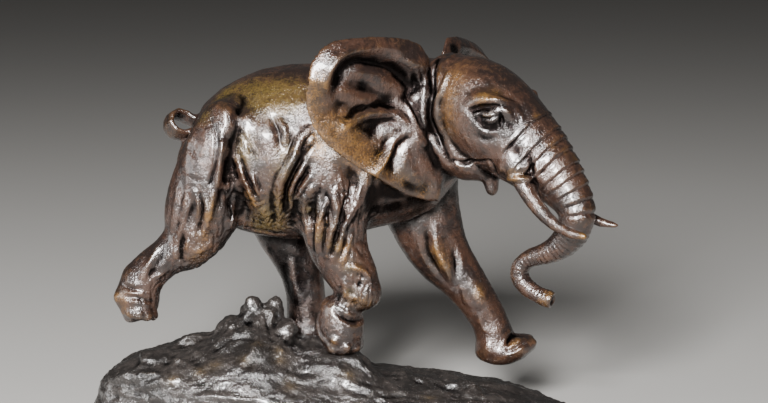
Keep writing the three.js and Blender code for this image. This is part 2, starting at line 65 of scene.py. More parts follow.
# Every stroke is (half width, height, line of points); a negative height is a groove.
# Ear strokes in the ear's own plane: reach from its root and height.
EAR_STROKES = [
    # roll edge
    (1.6, 0.9, [(41.6, 108.4), (41.3, 113.8), (39.1, 117.4), (34.5, 119.3), (28.4, 119.8),
        (21.6, 117.7), (14.5, 115.9), (9.2, 113.6), (5.9, 109.8)]),
    # left roll
    (4.0, 0.9, [(38.3, 118.9), (42, 115.3), (43.1, 110.1), (42.4, 104.7)]),
    # crescent
    (2.6, -2.6, [(38.9, 106.7), (37, 111.1), (34.2, 114.6), (29.4, 116.1), (21.7, 115.8),
        (13.9, 113.7), (8.7, 109.9), (4.9, 105.3), (4.6, 101.7)]),
    # knob
    (3.4, 1.7, [(25.6, 109.7), (19.8, 108.2), (15.4, 106.5), (12.3, 104.5)]),
    # inner ridge
    (2.8, 1.3, [(40.1, 106.8), (32.9, 104.8), (26.8, 102.5), (21.8, 100), (18.5, 98)]),
    # third groove top
    (1.9, -1.0, [(31.6, 95.7), (27.4, 97.7), (22.8, 98.8), (18.4, 98.7), (14, 98)]),
    # third ridge
    (1.5, 1.2, [(35.4, 90.1), (30.1, 93.6), (23.4, 96.2), (14.4, 96.3), (10.5, 94.2), (7.9, 90.3)]),
    # field hollow
    (4.2, -1.3, [(24.2, 92.3), (19.8, 90.2), (15.4, 88.2), (16.4, 83.7), (19.2, 80)]),
    # fold ridge
    (1.3, 1.3, [(7.5, 89), (11.3, 87), (13.3, 84.9), (15.4, 80.7), (18.8, 76.6), (21.9, 73.5)]),
    # fold hollow
    (2.4, -1.4, [(9.3, 85.7), (11.6, 81.6), (13.9, 76.7), (15.5, 73.4)]),
    # broad ridge
    (3.2, 1.4, [(7.9, 100.5), (5.8, 94.5), (3.8, 88.5), (1.5, 82.3), (-0.3, 76.1)]),
    # tragus
    (1.4, 1.1, [(3.9, 101), (2.2, 97.2), (0.8, 92.3)]),
    # tragus groove back
    (0.9, -1.2, [(5.5, 101.7), (4, 96.2), (2.2, 90.9)]),
    # tragus groove front
    (0.9, -1.2, [(1.8, 102.8), (0.3, 98), (-0.7, 92.6)]),
    # root groove a
    (0.8, -0.9, [(5.3, 111.4), (2.8, 106.6), (2.7, 102.1)]),
    # root groove b
    (0.7, -0.8, [(3.2, 112.9), (0.4, 107.3), (0.7, 102.1), (0.2, 96.9)]),
    # front line
    (0.8, -0.7, [(-0.2, 87.8), (-2.2, 81.2), (-5.4, 71.5), (-7.1, 65.5)]),
    # front line b
    (0.7, 0.6, [(0.9, 88.3), (-1.2, 83.3), (-3.5, 76.6)]),
    # lobe ridge
    (2.2, 0.6, [(6.7, 78), (5.8, 73.3), (2.1, 67.6)]),
]
HIDE_STROKES = [
    # valley right
    (3.2, -1.4, [(-36.7, -24.2, 92.7), (-34.3, -20.9, 86.9), (-31.5, -17.4, 81.7)]),
    # valley knob
    (1.8, 0.9, [(-37.6, -16.4, 129.7), (-36.8, -20.5, 127.4)]),
    # hip plate
    (3.0, 0.8, [(-42.4, -18.8, 128), (-40.5, -24.6, 123.2), (-39.4, -26.2, 118.5)]),
    # thigh shelf
    (1.6, 0.8, [(-43.2, -27.4, 98.9), (-41, -26.8, 96.5), (-39.6, -26.2, 94.5)]),
    # haunch crease
    (0.8, -0.35, [(-54.6, -22.9, 110.9), (-52, -24.8, 108.1), (-49.3, -26.4, 107.5)]),
    # haunch crease b
    (0.7, -0.25, [(-55.1, -24.8, 100.4), (-52, -26.3, 99.1), (-48.5, -27, 99.6)]),
    # ham edge
    (1.4, 0.8, [(-59.2, -22.7, 95.6), (-60.2, -23, 88.3), (-61.5, -22.5, 80.2)]),
    # ham ridge a
    (1.0, 0.9, [(-53.4, -26.1, 94.9), (-54.8, -25.7, 88.7), (-57.2, -24.8, 82.1),
        (-60.1, -23.8, 76.1)]),
    # ham ridge b
    (0.9, 0.8, [(-55.5, -25.6, 93.7), (-56.7, -25.2, 89), (-58.4, -24.6, 83.6)]),
    # ham ridge c
    (0.9, 0.8, [(-52, -26.4, 94.9), (-50.9, -26.7, 89.6), (-51.4, -26.3, 83.8)]),
    # ham ridge d
    (0.9, 0.7, [(-49.4, -27, 93.1), (-48.7, -26.8, 88.5), (-49.9, -25.9, 83)]),
    # ham groove a
    (0.8, -0.9, [(-54.4, -25.9, 92.9), (-54.2, -25.8, 88.3), (-56.1, -25.1, 82.9)]),
    # ham groove b
    (0.8, -0.9, [(-50.5, -26.7, 93.8), (-49.6, -26.9, 88.5), (-50.7, -25.8, 81.4)]),
    # knee swell
    (4.6, 1.1, [(-52.4, -24.3, 73.5), (-50, -22.2, 70.1)]),
    # knee crease
    (1.2, -1.0, [(-56.9, -24.6, 77.4), (-58.2, -24.4, 72), (-57.2, -23.1, 67.1)]),
    # hock ridge
    (1.4, 0.8, [(-66.6, -19.3, 75), (-69.5, -22, 68.5), (-73, -22.6, 62)]),
    # hock groove
    (1.3, -0.8, [(-64.8, -22.6, 71.7), (-67.5, -22.8, 66.3), (-70.3, -22.7, 61.7)]),
    # hock ridge low
    (1.2, 0.6, [(-64.6, -22.1, 63.1), (-68.1, -22, 60.4)]),
    # ankle crease
    (0.9, -0.8, [(-80.5, -20.8, 57.8), (-77.2, -22.9, 56.7), (-73.8, -23, 56.3)]),
    # ankle crease b
    (0.9, -0.8, [(-79.2, -23, 53.6), (-75.6, -23.7, 53.5), (-71.9, -22.8, 52.4),
        (-69.5, -20.4, 51.5)]),
    # heel bulge
    (2.6, 0.8, [(-83.5, -18.6, 54.7), (-83.4, -19.4, 50.6)]),
    # flank plate
    (3.6, 0.7, [(-28.5, -23.8, 120.9), (-26.9, -25.7, 115.8), (-23.9, -26.4, 112.1)]),
    # flank notch
    (1.3, -0.9, [(-23, -24.1, 122.1), (-20.9, -26.1, 117.3), (-20.1, -26.8, 111.7)]),
    # flank notch ridge
    (1.1, 0.7, [(-20.2, -24.9, 121), (-18, -26.4, 117.4), (-18.2, -26.8, 113.2)]),
    # flank ridge third
    (0.8, 0.6, [(-31.9, -25.9, 107.4), (-30.1, -25.7, 100.6), (-28.3, -24.9, 94)]),
    # flank groove front
    (0.8, -0.8, [(-34.7, -26.4, 106.4), (-32.4, -25.4, 99.8), (-29.5, -24.3, 92.7)]),
    # flank fan a
    (0.8, 0.5, [(-34.1, -25.7, 118.8), (-31.9, -25.6, 114.2), (-30, -25.8, 110.5)]),
    # flank fan b
    (0.8, 0.5, [(-34.8, -26.3, 115.5), (-32.6, -26, 110.5), (-30.8, -26.1, 106.7)]),
    # flank fan c
    (0.8, 0.5, [(-35.2, -26.6, 111.7), (-33.4, -26.2, 107.9), (-31.6, -26, 103.6)]),
    # flank low ridge
    (1.1, 0.6, [(-26.8, -23.9, 91.1), (-25.9, -21.4, 85.4), (-25.4, -16.3, 79.2)]),
    # flank low groove
    (1.0, -0.6, [(-23.4, -24.9, 92.8), (-22.8, -22.4, 86.3), (-22.7, -16.8, 79.3)]),
    # fringe a
    (0.7, 0.7, [(-39.2, -21.5, 80), (-37.2, -22.4, 84.8)]),
    # fringe b
    (0.7, 0.6, [(-36.8, -12, 79.3), (-35.6, -18.6, 84.6)]),
    # fringe c
    (0.7, 0.7, [(-34.4, -12.7, 79.1), (-34, -19.6, 85.1)]),
    # fringe d
    (0.7, 0.6, [(-32.1, -13.5, 78.8), (-32.3, -19.8, 84.8)]),
    # fringe e
    (0.7, 0.6, [(-29.4, -14.1, 78.5), (-30.1, -20, 84.4)]),
    # belly rim
    (1.0, 0.8, [(-36.4, -11.8, 79.1), (-32.9, -12.4, 78.4), (-28.7, -12.5, 77.5),
        (-24.1, -11.9, 76.4), (-18.7, -12.2, 75.9)]),
    # elbow groove second
    (0.9, -1.1, [(-9.4, -27.5, 103.5), (-12.8, -26.8, 97.8), (-15.5, -25.3, 92.1)]),
    # elbow ridge third
    (0.8, 0.9, [(-8.9, -27.5, 100), (-12, -26.9, 96.1), (-14.3, -25.2, 91.3)]),
    # elbow ridge top
    (0.9, 0.8, [(-8, -27.4, 114.8), (-10.5, -28.1, 110.7), (-11.8, -28.3, 107.7)]),
    # elbow hollow
    (2.4, -1.6, [(-15.1, -24.5, 90.1), (-16, -21.3, 83.8), (-16.6, -16.9, 78.5)]),
    # shoulder swell
    (5.0, 1.0, [(-0.2, -26.9, 104.5), (-1.3, -26.5, 99.1), (-1.3, -26.4, 94.5)]),
    # shoulder ridge
    (2.0, 1.1, [(12.3, -27.8, 102.3), (11.5, -24.9, 96.6), (8.9, -25.6, 91.8), (5.8, -26.1, 86.5)]),
    # shoulder hollow
    (3.0, -1.3, [(4.4, -26.2, 103.7), (7, -25.8, 99), (5.5, -26.4, 93)]),
    # arm ridge a
    (1.3, 1.1, [(-9, -26.7, 96.3), (-11.4, -24.5, 90), (-11.2, -22.9, 85.3), (-9.9, -23, 80.2),
        (-9.3, -21.5, 74.2)]),
    # arm ridge b
    (0.9, 0.9, [(-2.9, -26.2, 91.5), (-4.8, -26.4, 85.4), (-6, -25.8, 78.7), (-6.4, -24, 72.3),
        (-5.3, -21.8, 66.9)]),
    # arm ridge c
    (1.2, 1.0, [(-0.2, -26.5, 95.3), (0.8, -27.4, 89.7), (0.3, -26.9, 82.8), (-1.7, -26.5, 75.7),
        (-2.5, -24.4, 69.4)]),
    # arm ridge d
    (1.1, 1.0, [(8.5, -25.7, 89.1), (5.5, -26.6, 84.2), (3.6, -26.7, 79.7), (2, -25.7, 73.7),
        (0.1, -24.7, 68.2)]),
    # arm groove ab
    (1.0, -1.1, [(-5.5, -26.4, 95.3), (-7.7, -24.5, 88.1), (-7.9, -24.2, 80.4),
        (-7.8, -21.8, 71.6)]),
    # arm groove bc
    (0.8, -0.9, [(-2.1, -26.5, 89.6), (-3.3, -26.1, 79.9), (-4.1, -24.9, 70.9)]),
    # arm groove cd
    (1.0, -1.1, [(4.7, -26.5, 91.5), (3.2, -26.6, 85), (1.3, -26.4, 78.8), (-1.1, -25, 70.9)]),
    # arm patch
    (2.6, 0.8, [(-7, -27.3, 101.1), (-7.8, -26.6, 95.3), (-8.6, -24.6, 90.1)]),
    # arm ridge e
    (0.9, 0.7, [(6.9, -24.6, 77.4), (5.3, -24.7, 72.4), (3.2, -25, 67.1)]),
    # knee arc
    (1.0, 0.9, [(6.1, -24.5, 65.4), (10.3, -23.5, 64.3), (13.4, -22.1, 61.2), (13.9, -22, 59.2)]),
    # knee hollow
    (2.2, -1.0, [(9.9, -23.9, 59.9), (9.2, -24.1, 57.6)]),
    # knee back ridge
    (1.0, 0.9, [(3.2, -23.7, 59.7), (4.4, -23.1, 55.1), (3.4, -21.4, 51.7), (5.7, -21.5, 50.2)]),
    # knee fold
    (0.9, 0.7, [(5.7, -22.9, 52.4), (8.8, -23.9, 54.1)]),
    # forefoot crease
    (1.1, -1.2, [(0.7, -23.4, 48.2), (4.6, -23.5, 45.1), (8, -22, 44), (11, -17.4, 43.9)]),
    # forefoot edge
    (0.9, 0.8, [(-5.9, -18.1, 46.8), (-6.4, -17.5, 42.4), (-5.3, -19.5, 37.7),
        (-2.4, -22.1, 34.7)]),
    # forefoot nail
    (1.4, 0.9, [(0.1, -23.7, 36.6)]),
    # forefoot nail b
    (1.4, 0.6, [(5.3, -23.8, 34.3)]),
    # hind shank ridge
    (1.6, 0.8, [(-17.6, 6.7, 62.2), (-16.5, 8, 54.7), (-14.9, 8.1, 48.3)]),
    # far arm ridge
    (2.4, 1.2, [(39.9, 3.1, 75.5), (39.9, 3.1, 69.1), (41.9, 3.7, 63.1), (45.1, 5.2, 54.4)]),
    # far arm groove left
    (1.6, -1.0, [(35.9, 2.3, 76.4), (36.4, 3.6, 67.5), (40, 4.5, 60.1), (45.5, 5.7, 52.3)]),
    # far arm groove right
    (1.4, -0.8, [(46.4, 5, 69.7), (47.4, 4.6, 61.7), (46.9, 5.4, 52.8)]),
    # far knee swell
    (3.4, 1.2, [(54.6, 5.7, 51.9), (57, 6, 47.9), (58.6, 6, 43.9)]),
    # far knee edge
    (0.9, 0.8, [(49.9, 5.2, 52), (50.7, 5.9, 48.3), (52.3, 6.4, 45)]),
    # far ankle
    (1.2, 0.7, [(56.6, 6.4, 40.6), (57.9, 6.8, 36.5), (59.5, 6.4, 34.1)]),
    # far nail low
    (0.8, -0.8, [(66.9, 4, 26.2), (71.1, 4.7, 28), (74.6, 6.8, 30)]),
    # far nail high
    (0.8, -0.8, [(67.7, 4.3, 27.3), (68.4, 6.7, 30.4), (70.8, 10.7, 31.9), (74.4, 10.9, 31.6)]),
    # far nail
    (1.6, 0.8, [(71, 6.8, 30.4), (73.8, 7.8, 30.6)]),
    # far heel
    (2.4, 0.9, [(60.3, 6.3, 28.1)]),
    # far nail front
    (1.3, 0.8, [(78.9, 9.8, 29.4)]),
    # neck crease
    (1.2, -1.2, [(37.4, -12.8, 141.2), (36.9, -16, 135.4), (38.2, -18.2, 130.2)]),
]
# These repeat on the far flank.
FLANK_STROKES = [
    # valley top
    (2.4, -1.5, [(-36.2, -16.9, 129.7), (-35.9, -23, 125.4), (-36.1, -26, 120),
        (-37.3, -27.1, 113.3)]),
    # valley middle
    (2.7, -2.0, [(-37, -26.9, 115.5), (-38.1, -27.2, 107.6), (-38.8, -26.8, 99.9)]),
    # valley low
    (4.6, -2.4, [(-38.8, -27, 102.2), (-38.8, -26.1, 94.5), (-38.5, -23, 86.4)]),
    # haunch swell
    (7.0, 1.0, [(-48, -21.1, 122.9), (-49.7, -24.3, 114.1), (-51.2, -26.3, 104.8),
        (-51.6, -26.4, 98.4)]),
    # thigh ridge
    (1.3, 1.2, [(-41.2, -27.1, 113.1), (-42.1, -28.2, 108.1), (-43, -28.1, 102),
        (-43.8, -27.7, 98.1), (-45.2, -27, 93.5), (-46.5, -27, 89.3), (-47.8, -26.4, 82.7),
        (-49.7, -24.9, 77.8)]),
    # thigh groove
    (0.9, -0.9, [(-45.9, -23.1, 121.6), (-43.9, -26.4, 116.2), (-43.8, -27.8, 109.7),
        (-44.8, -27.9, 103.9), (-46.2, -27.6, 98.1)]),
    # flank swell
    (7.5, 1.2, [(-25.5, -23.7, 122.4), (-24.7, -26.1, 114.3), (-23.2, -27, 104.9),
        (-24.8, -25.6, 95.2)]),
    # flank ridge front
    (1.1, 1.1, [(-36.5, -27.1, 107), (-34.1, -26.4, 99.9), (-31.6, -24.9, 93.6),
        (-29.7, -23.1, 89.5)]),
    # flank ridge second
    (0.9, 0.7, [(-33.6, -26.1, 104.7), (-30.6, -25.5, 98.9), (-27.3, -24.3, 92.3)]),
    # elbow ridge main
    (1.5, 1.4, [(-10.1, -26.8, 117.4), (-12.7, -27.6, 114.1), (-14.9, -28, 108.1),
        (-17.5, -28, 102.8), (-19.7, -26.7, 98.2), (-20.7, -25.5, 93.7), (-21.2, -23.3, 88.4)]),
    # elbow groove main
    (1.2, -1.5, [(-9.3, -28, 112.2), (-12.8, -28.3, 106.2), (-16.3, -27.3, 99.2),
        (-18.1, -25.4, 92.9), (-18.5, -22.4, 85.5)]),
    # elbow ridge second
    (0.9, 1.0, [(-11.3, -27.6, 104.5), (-13.9, -27.7, 100.5), (-16, -27.2, 96.9),
        (-17, -25.4, 92.1)]),
]
FACE_STROKES = [
    # brow
    (2.8, 0.5, [(49.9, -28.5, 127), (52.8, -30, 128.9), (56.8, -32.5, 130.1), (60.7, -33, 130.9),
        (63.9, -32.8, 129.9), (66.7, -31.1, 127.7)]),
    # brow front
    (1.2, 0.7, [(61.1, -33.5, 130.3), (66.7, -30.8, 128), (68.9, -31.7, 125.7),
        (70.7, -32.4, 123.1)]),
    # brow crease
    (1.2, -0.9, [(51, -29.4, 125.6), (54.7, -30.5, 126.9), (59.1, -33.3, 127.9),
        (62.6, -34.4, 128.2), (65, -33.6, 127.9)]),
    # upper lid
    (0.9, 0.45, [(53.6, -30.4, 124.8), (56.2, -31.2, 126), (58.9, -32.3, 126.8),
        (61.1, -33.6, 126.1), (62.1, -32.9, 124.5)]),
    # eye slit
    (0.5, -0.7, [(55.3, -31.3, 123), (57.6, -33.4, 123.3), (61, -33.9, 124)]),
    # eye ball
    (1.2, 0.35, [(57.7, -32, 121.6), (59.8, -33.7, 122.1)]),
    # lower lid
    (0.5, 0.2, [(59, -32.3, 120), (61, -32.8, 120.6), (62.3, -33, 121.4)]),
    # lower fold
    (0.8, 0.16, [(50.8, -29.6, 122.9), (52.4, -30.4, 121.4), (55.1, -31.4, 118.9),
        (58.1, -32.2, 117.4), (61.4, -32.9, 117.9)]),
    # lower groove
    (1.7, -0.6, [(54, -30.1, 116.3), (57.4, -31.4, 115.5), (61.4, -32.9, 115.8)]),
    # nose fold
    (0.9, 0.22, [(64, -33.4, 120.9), (65.3, -33.6, 118.5), (66, -33.7, 115.9)]),
    # eye back
    (0.6, -0.7, [(62.6, -33.9, 125.3), (63.2, -33, 122.2), (63.1, -33.2, 119.3)]),
    # inner fold
    (0.7, 0.18, [(63.7, -34.3, 127.6), (65.4, -34.6, 125.8), (66.5, -34.4, 123.9)]),
    # lid groove
    (0.5, -0.45, [(55.8, -31.6, 119.3), (58.4, -32.2, 118.8), (60.6, -32.7, 119)]),
    # cheek fold
    (0.8, 0.4, [(49.1, -27.2, 116.3), (50.4, -27.1, 114), (51.6, -26.3, 111.7)]),
    # cheek back
    (1.0, 0.9, [(43.1, -19.3, 138.8), (40.9, -20, 132.7), (38.5, -18.5, 127.2),
        (38.1, -18.2, 121.4), (40, -17.8, 116.8)]),
    # neck groove
    (1.5, -1.8, [(39.3, -12, 143.4), (37.4, -16.4, 134.6), (36.8, -18.2, 126.4),
        (37.4, -17.8, 120.3), (39.7, -18, 114.5), (42.1, -19.1, 108.9), (44.2, -18.9, 105.4)]),
    # mouth
    (0.8, -1.1, [(45.7, -19.5, 105.7), (50.2, -19.3, 104.9), (54.7, -23.8, 105.9),
        (58.7, -28, 106.7)]),
    # lower lip
    (2.0, 0.9, [(48.4, -19.5, 103.6), (52.3, -19.1, 102.2), (56, -19.5, 102.8)]),
    # lip pleat a
    (0.6, -0.5, [(50.3, -19.3, 103.6), (51.3, -18.5, 101.2)]),
    # lip pleat b
    (0.6, -0.5, [(52.6, -19.1, 103.5), (53, -18.4, 100.8)]),
    # lip pleat c
    (0.6, -0.5, [(54.9, -20.1, 104), (54.9, -18.8, 101.6)]),
    # mouth corner
    (0.8, -1.0, [(59.2, -28.3, 106.6), (60.6, -27.1, 103.8), (61.9, -24.1, 100.7),
        (64.9, -24.9, 99.1)]),
    # mouth knob
    (1.4, 0.9, [(62.9, -31, 103.9)]),
    # sheath rim
    (1.1, 0.9, [(64.4, -27, 100.5), (68.5, -35.2, 100.8), (72.6, -35.3, 100.9),
        (76.4, -35.2, 101.6)]),
    # sheath fold
    (1.2, 0.5, [(73.3, -34.5, 114.5), (71.6, -34.6, 111.9), (70.7, -34.3, 108.1)]),
    # trunk root fold
    (1.4, 0.6, [(76.3, -35.5, 108.6), (75.9, -35.4, 106), (77.1, -34.8, 101.7),
        (78.6, -35.1, 99.1)]),
    # trunk root groove
    (1.0, -0.8, [(74.1, -35, 107.8), (74.3, -35, 104.4), (75.3, -34.8, 102.1)]),
    # crown
    (0.9, 0.6, [(42.7, -14.5, 142.9), (46.7, -8.4, 145.2)]),
]
ROCK_STROKES = [
    # crest right swell
    (2.6, 1.5, [(-26.1, 2.3, 46.6), (-26.3, 2.1, 44.2), (-25.9, -3.5, 42.5)]),
    # crest left swell
    (3.0, 0.8, [(-32.6, -1.7, 48.5), (-30.7, -1.5, 46.1), (-30.1, -4.4, 43.4)]),
    # crest valley
    (0.9, -1.0, [(-27.6, -3.6, 44.1), (-26.5, -6.7, 39.1), (-23.5, -17.7, 36.2)]),
    # crest arc
    (1.1, 0.9, [(-36.5, -6, 40.2), (-35.5, -1.7, 41.8), (-33, -2.8, 41.7), (-30.2, -8.6, 41.3)]),
    # bright ledge
    (1.2, 1.1, [(-45.8, -16.5, 34), (-43.6, -12.9, 36.5), (-40.1, -9.2, 39.5), (-37.1, -7.5, 39.2),
        (-33, -14.5, 38.7)]),
    # ledge hollow
    (1.8, -1.5, [(-46.1, -20.6, 33), (-42, -18, 35.6), (-35.9, -16.5, 37.8), (-31.5, -18.7, 37)]),
    # crest right ridge
    (1.4, 1.0, [(-24.3, -1.1, 43.6), (-25.4, -4.3, 40.4), (-26.5, -8.4, 38.7)]),
    # gold ridge left
    (1.4, 1.0, [(-29.6, -20.1, 36), (-30.5, -25.8, 34), (-33.3, -29.7, 30.5),
        (-36.3, -32.2, 28.6)]),
    # gold ridge right
    (1.4, 1.0, [(-21.7, -18.8, 35.1), (-20.3, -22.9, 32.2), (-20.8, -25.8, 30.3)]),
    # swirl a
    (1.3, 0.9, [(-91.4, -7.8, 17.1), (-89.3, -4.8, 19.6), (-83.8, -14.4, 22.9)]),
    # swirl b
    (1.3, 0.9, [(-77.4, -21.6, 23.8), (-75.2, -18.9, 25.1), (-72.8, -19, 25.5)]),
    # swirl c
    (1.3, 0.9, [(-76.7, -23.4, 21.7), (-72.9, -23.6, 24.2), (-67.7, -26.5, 24.2),
        (-65.2, -28.2, 24)]),
    # swirl d
    (1.3, 0.9, [(-75.4, -24.5, 18.2), (-68.9, -27.8, 20.8), (-62.5, -31.3, 22.2),
        (-58.9, -30.4, 23.8)]),
    # flow a
    (1.3, 0.9, [(-67, -14.8, 29.3), (-56.9, -24.2, 28.1), (-50.2, -32, 24.8)]),
    # flow b
    (1.3, 0.9, [(-55.3, -13.1, 31.4), (-52.3, -20.6, 31.1), (-50.8, -23.6, 30.5)]),
    # flow c
    (1.3, 0.9, [(-61.2, -32.7, 18.8), (-56.1, -35.3, 18.2), (-52.4, -36.7, 17.2),
        (-42.6, -38.9, 18.3), (-31.7, -40.5, 16.8)]),
    # right flow a
    (1.3, 0.9, [(4.3, -30, 22.5), (10.2, -30.1, 20.2), (17.8, -28.7, 18.6), (24.8, -25.2, 17.3)]),
    # right flow b
    (1.3, 0.9, [(6.1, -30.6, 20.9), (13.1, -30.3, 18.4), (17.8, -32, 16.4)]),
    # right flow c
    (1.3, 0.9, [(26.2, 3.1, 19.6), (26.7, -6.2, 19.1), (29.1, -8.5, 19)]),
    # right flow d
    (1.3, 0.9, [(31.5, -6.9, 18.6), (35.1, -8.5, 17.2), (39.8, -12.6, 15.7)]),
    # right flow e
    (1.3, 0.9, [(41.1, -6.4, 17.3), (45.8, -10.4, 17), (49.3, -12.1, 16.2)]),
    # right flow f
    (1.3, 0.9, [(36.7, 13.4, 16.8), (43.6, -2.9, 17.2)]),
    # right flow g
    (1.3, 0.9, [(22, 4.6, 20.5), (24.9, -5.5, 19.6)]),
]
# Where the lacquer is rubbed to gold, and where it has an olive cast: (radius, middles).
GILT_SPOTS = [
    # ear rim
    (5, [(-8, -37.9, 132.1), (-8.4, -37.3, 126.8), (-7.4, -36.5, 121.5), (-5.4, -26.8, 115.1)]),
    # ear margin
    (4.5, [(-5.3, -39.5, 138.9), (-6.5, -38.3, 134.4), (-5.4, -27.3, 110.7)]),
    # ear field
    (8, [(-1.1, -34, 120.5), (3.4, -31.8, 114.2), (8.6, -28.7, 110.1), (13.8, -26.2, 106.7),
        (6.3, -30, 118.5)]),
    # ear low
    (5, [(18.7, -25.4, 102.8), (25.2, -21, 98.4), (33.6, -16.6, 93.2)]),
    # brow
    (3.2, [(54.3, -31.1, 129.9), (57.6, -32.3, 131.6), (60.7, -29.4, 132)]),
    # temple
    (5.5, [(43.7, -22.8, 132.2), (42.9, -22.9, 125.3), (43.7, -21.6, 118.4),
        (45.9, -21.5, 138.1)]),
    # sheath
    (3, [(67, -34.7, 101.7), (70, -35.2, 101.8)]),
    # lid
    (1.2, [(56.5, -32.6, 124), (58.7, -33.8, 124.6)]),
    # tusk tip
    (2.2, [(92.9, -50.6, 81.5)]),
    # nostril
    (2, [(78.8, -27.9, 52.5), (81, -27.9, 56)]),
    # thigh
    (3, [(-46.4, -27, 90), (-47.6, -26.6, 84.6), (-49.3, -25, 77.5)]),
    # knee swell
    (5, [(-51.4, -23.1, 70.2)]),
    # trail foot
    (3, [(-81.6, -21.4, 53.7), (-80.5, -21.6, 48.6)]),
    # elbow
    (3, [(-32.5, -24.4, 92.7), (-30.3, -23.3, 89.9)]),
    # arm
    (3.4, [(4.6, -24.9, 73.6), (3.5, -25.1, 68.3), (-5.2, -26.4, 81.9)]),
    # knee
    (3.4, [(6.9, -23.2, 52.4), (11.5, -22.9, 51.2), (8.8, -23.9, 65)]),
    # forefoot
    (1.8, [(-0.4, -23.3, 35.7)]),
    # far foot
    (2.5, [(69.7, 5.3, 29.5)]),
    # rings
    (1.5, [(76.1, -30.2, 123.8), (82.3, -33.9, 112.9), (87, -32.4, 110.5), (90.8, -31.4, 108.5),
        (94.5, -28.8, 103.2)]),
    # far arm
    (4, [(39.9, 3.1, 67.5), (41.5, 3.8, 62.6)]),
    # far knee
    (3, [(56.2, 6, 51.1)]),
]
OLIVE_SPOTS = [
    # rump
    (8, [(-33.6, -13.1, 132.8), (-27.2, -17.7, 131.7), (-20.4, -18.2, 132.5),
        (-13.5, -19.4, 131.9), (-27.1, -21, 127.4), (-17.9, -22.9, 126.9)]),
    # hip
    (5, [(-40.7, -10.1, 131), (-44.5, -11, 128), (-48.7, -21.1, 122.1)]),
    # flank edge
    (6, [(-33.7, -26.1, 114.3), (-33, -26.1, 107.5), (-17.9, -27.1, 110.6), (-19, -27.5, 102.3)]),
    # flank low
    (7, [(-25.1, -22.1, 86.3), (-22.6, -17.5, 80.2), (-27.7, -16.6, 80.1), (-19.6, -24.6, 91.2)]),
    # back
    (5, [(-40.9, -6.5, 132.2)]),
    # arm
    (4, [(-8.3, -24, 87.3), (-6, -25.7, 77.6), (0.9, -25.9, 73.8)]),
    # knee
    (3, [(5.4, -24.7, 65.1), (6.1, -23.6, 55.6)]),
]
# Painted shade: places that lie in shade (creases, the far hind leg, far ear, far arm root, under
# the ear) are darkened in colour; in the creases this is partly also dark patina.
PAINTED_SHADE_SPOTS = [
    # eye
    (2.6, [(53.2, -30.2, 125.5), (56.5, -31.3, 126.4), (59.8, -33.5, 127.4),
        (62.4, -34.2, 127.2)]),
    # eye socket
    (4.6, [(55.8, -31.5, 122.8), (58, -32.7, 121.8), (60.6, -33.2, 121.5)]),
    # cheek top
    (2.4, [(65.5, -33.6, 119.7), (66.6, -33.8, 116.3), (67.7, -33.9, 112.9)]),
    # ear root panel
    (4.2, [(30.5, -15.5, 133), (31.7, -16.9, 130.1), (32.4, -17.3, 127.1), (33.2, -17.7, 124.1),
        (33.9, -17.7, 121)]),
    # eye corner
    (1.2, [(62.8, -33.7, 124.6), (63.2, -33.1, 121.9)]),
    # ear crescent
    (2.6, [(1.6, -32.6, 136.8), (3.1, -32.7, 140.2), (5.3, -32.2, 142.6), (9, -30.6, 144.1),
        (15.3, -26.2, 143.8), (22.1, -21.6, 141.7), (25.9, -18, 137.8)]),
    # ear root front
    (2.2, [(31.6, -17.5, 138.5), (32.8, -15.9, 133.1), (33.9, -17.4, 127.9)]),
    # ear root
    (3, [(28.2, -16.1, 130.4), (30.1, -17.2, 126.3), (32.4, -17.8, 121.4), (34.7, -17, 116.3),
        (37, -16.8, 110.9), (39, -15.9, 105.5)]),
    # ear folds
    (1.8, [(7.1, -28.7, 124.8), (10.8, -25.4, 126.4), (15.3, -22.5, 126.8), (19.9, -19.9, 126)]),
    # neck
    (2.4, [(39.3, -12, 143.4), (37.7, -16.5, 134.6), (37, -18.3, 126.4), (37.7, -17.9, 120.3),
        (40, -18.2, 113.4), (42.7, -19.1, 107.4)]),
    # hip valley
    (3.4, [(-36.3, -26, 120), (-37.4, -27.2, 113.3), (-38.7, -27.2, 104.9), (-39.2, -26.3, 95.3),
        (-38.7, -23.1, 86.4)]),
    # flank front
    (4.2, [(-8.8, -26.5, 118.9), (-11, -27.7, 112.2), (-14.1, -28.3, 104.7), (-16.8, -27, 96.9),
        (-18.1, -23.8, 88.8)]),
    # armpit
    (5, [(7, -25.8, 88.3), (14.5, -19.8, 88.2), (22.2, -17.1, 87.9)]),
    # mouth
    (1.6, [(45.7, -19.5, 105.7), (50.3, -19.3, 104.9), (54.7, -23.8, 105.9)]),
    # far hind leg
    (12, [(-20.2, 5.1, 71.2), (-17.9, 5.9, 66.3), (-15.6, 6.6, 61.4), (-14.1, 7.4, 54.8),
        (-13.3, 7.7, 47.6), (-12.6, 7.4, 41.2)]),
    # far ear
    (6, [(44.9, 11.6, 147.4), (48.2, 15.9, 146.7), (52.5, 25.2, 144.4)]),
    # far arm root
    (7, [(27.1, -17.4, 90.2), (29.9, -10, 83.7)]),
    # jaw lip
    (4, [(59.6, -17.5, 95.6)]),
    # under ear
    (6, [(17.6, -21.4, 93.9), (25.2, -18.1, 90.3), (33, -12.4, 87.2)]),
    # trunk root
    (2, [(73.7, -34.9, 107.8), (74.3, -35, 104.4), (75.3, -34.7, 101.7)]),
]
ROCK_GILT_SPOTS = [
    # crags
    (3, [(-30, -22.3, 35.5), (-33.8, -29.8, 30.4), (-21.2, -22.6, 32.8), (-20.3, -26.3, 29.7),
        (-61.2, -31.1, 23), (-45.3, -29.1, 28.4), (36.7, -25.4, 15.8), (-51, -30.3, 25.9),
        (6.1, -28.2, 24.3), (-16.6, -33.4, 21.5)]),
]

# ---------------- camera

def placed(name, data):
    """A new object, put into the scene."""
    made = bpy.data.objects.new(name, data)
    bpy.context.scene.collection.objects.link(made)
    return made


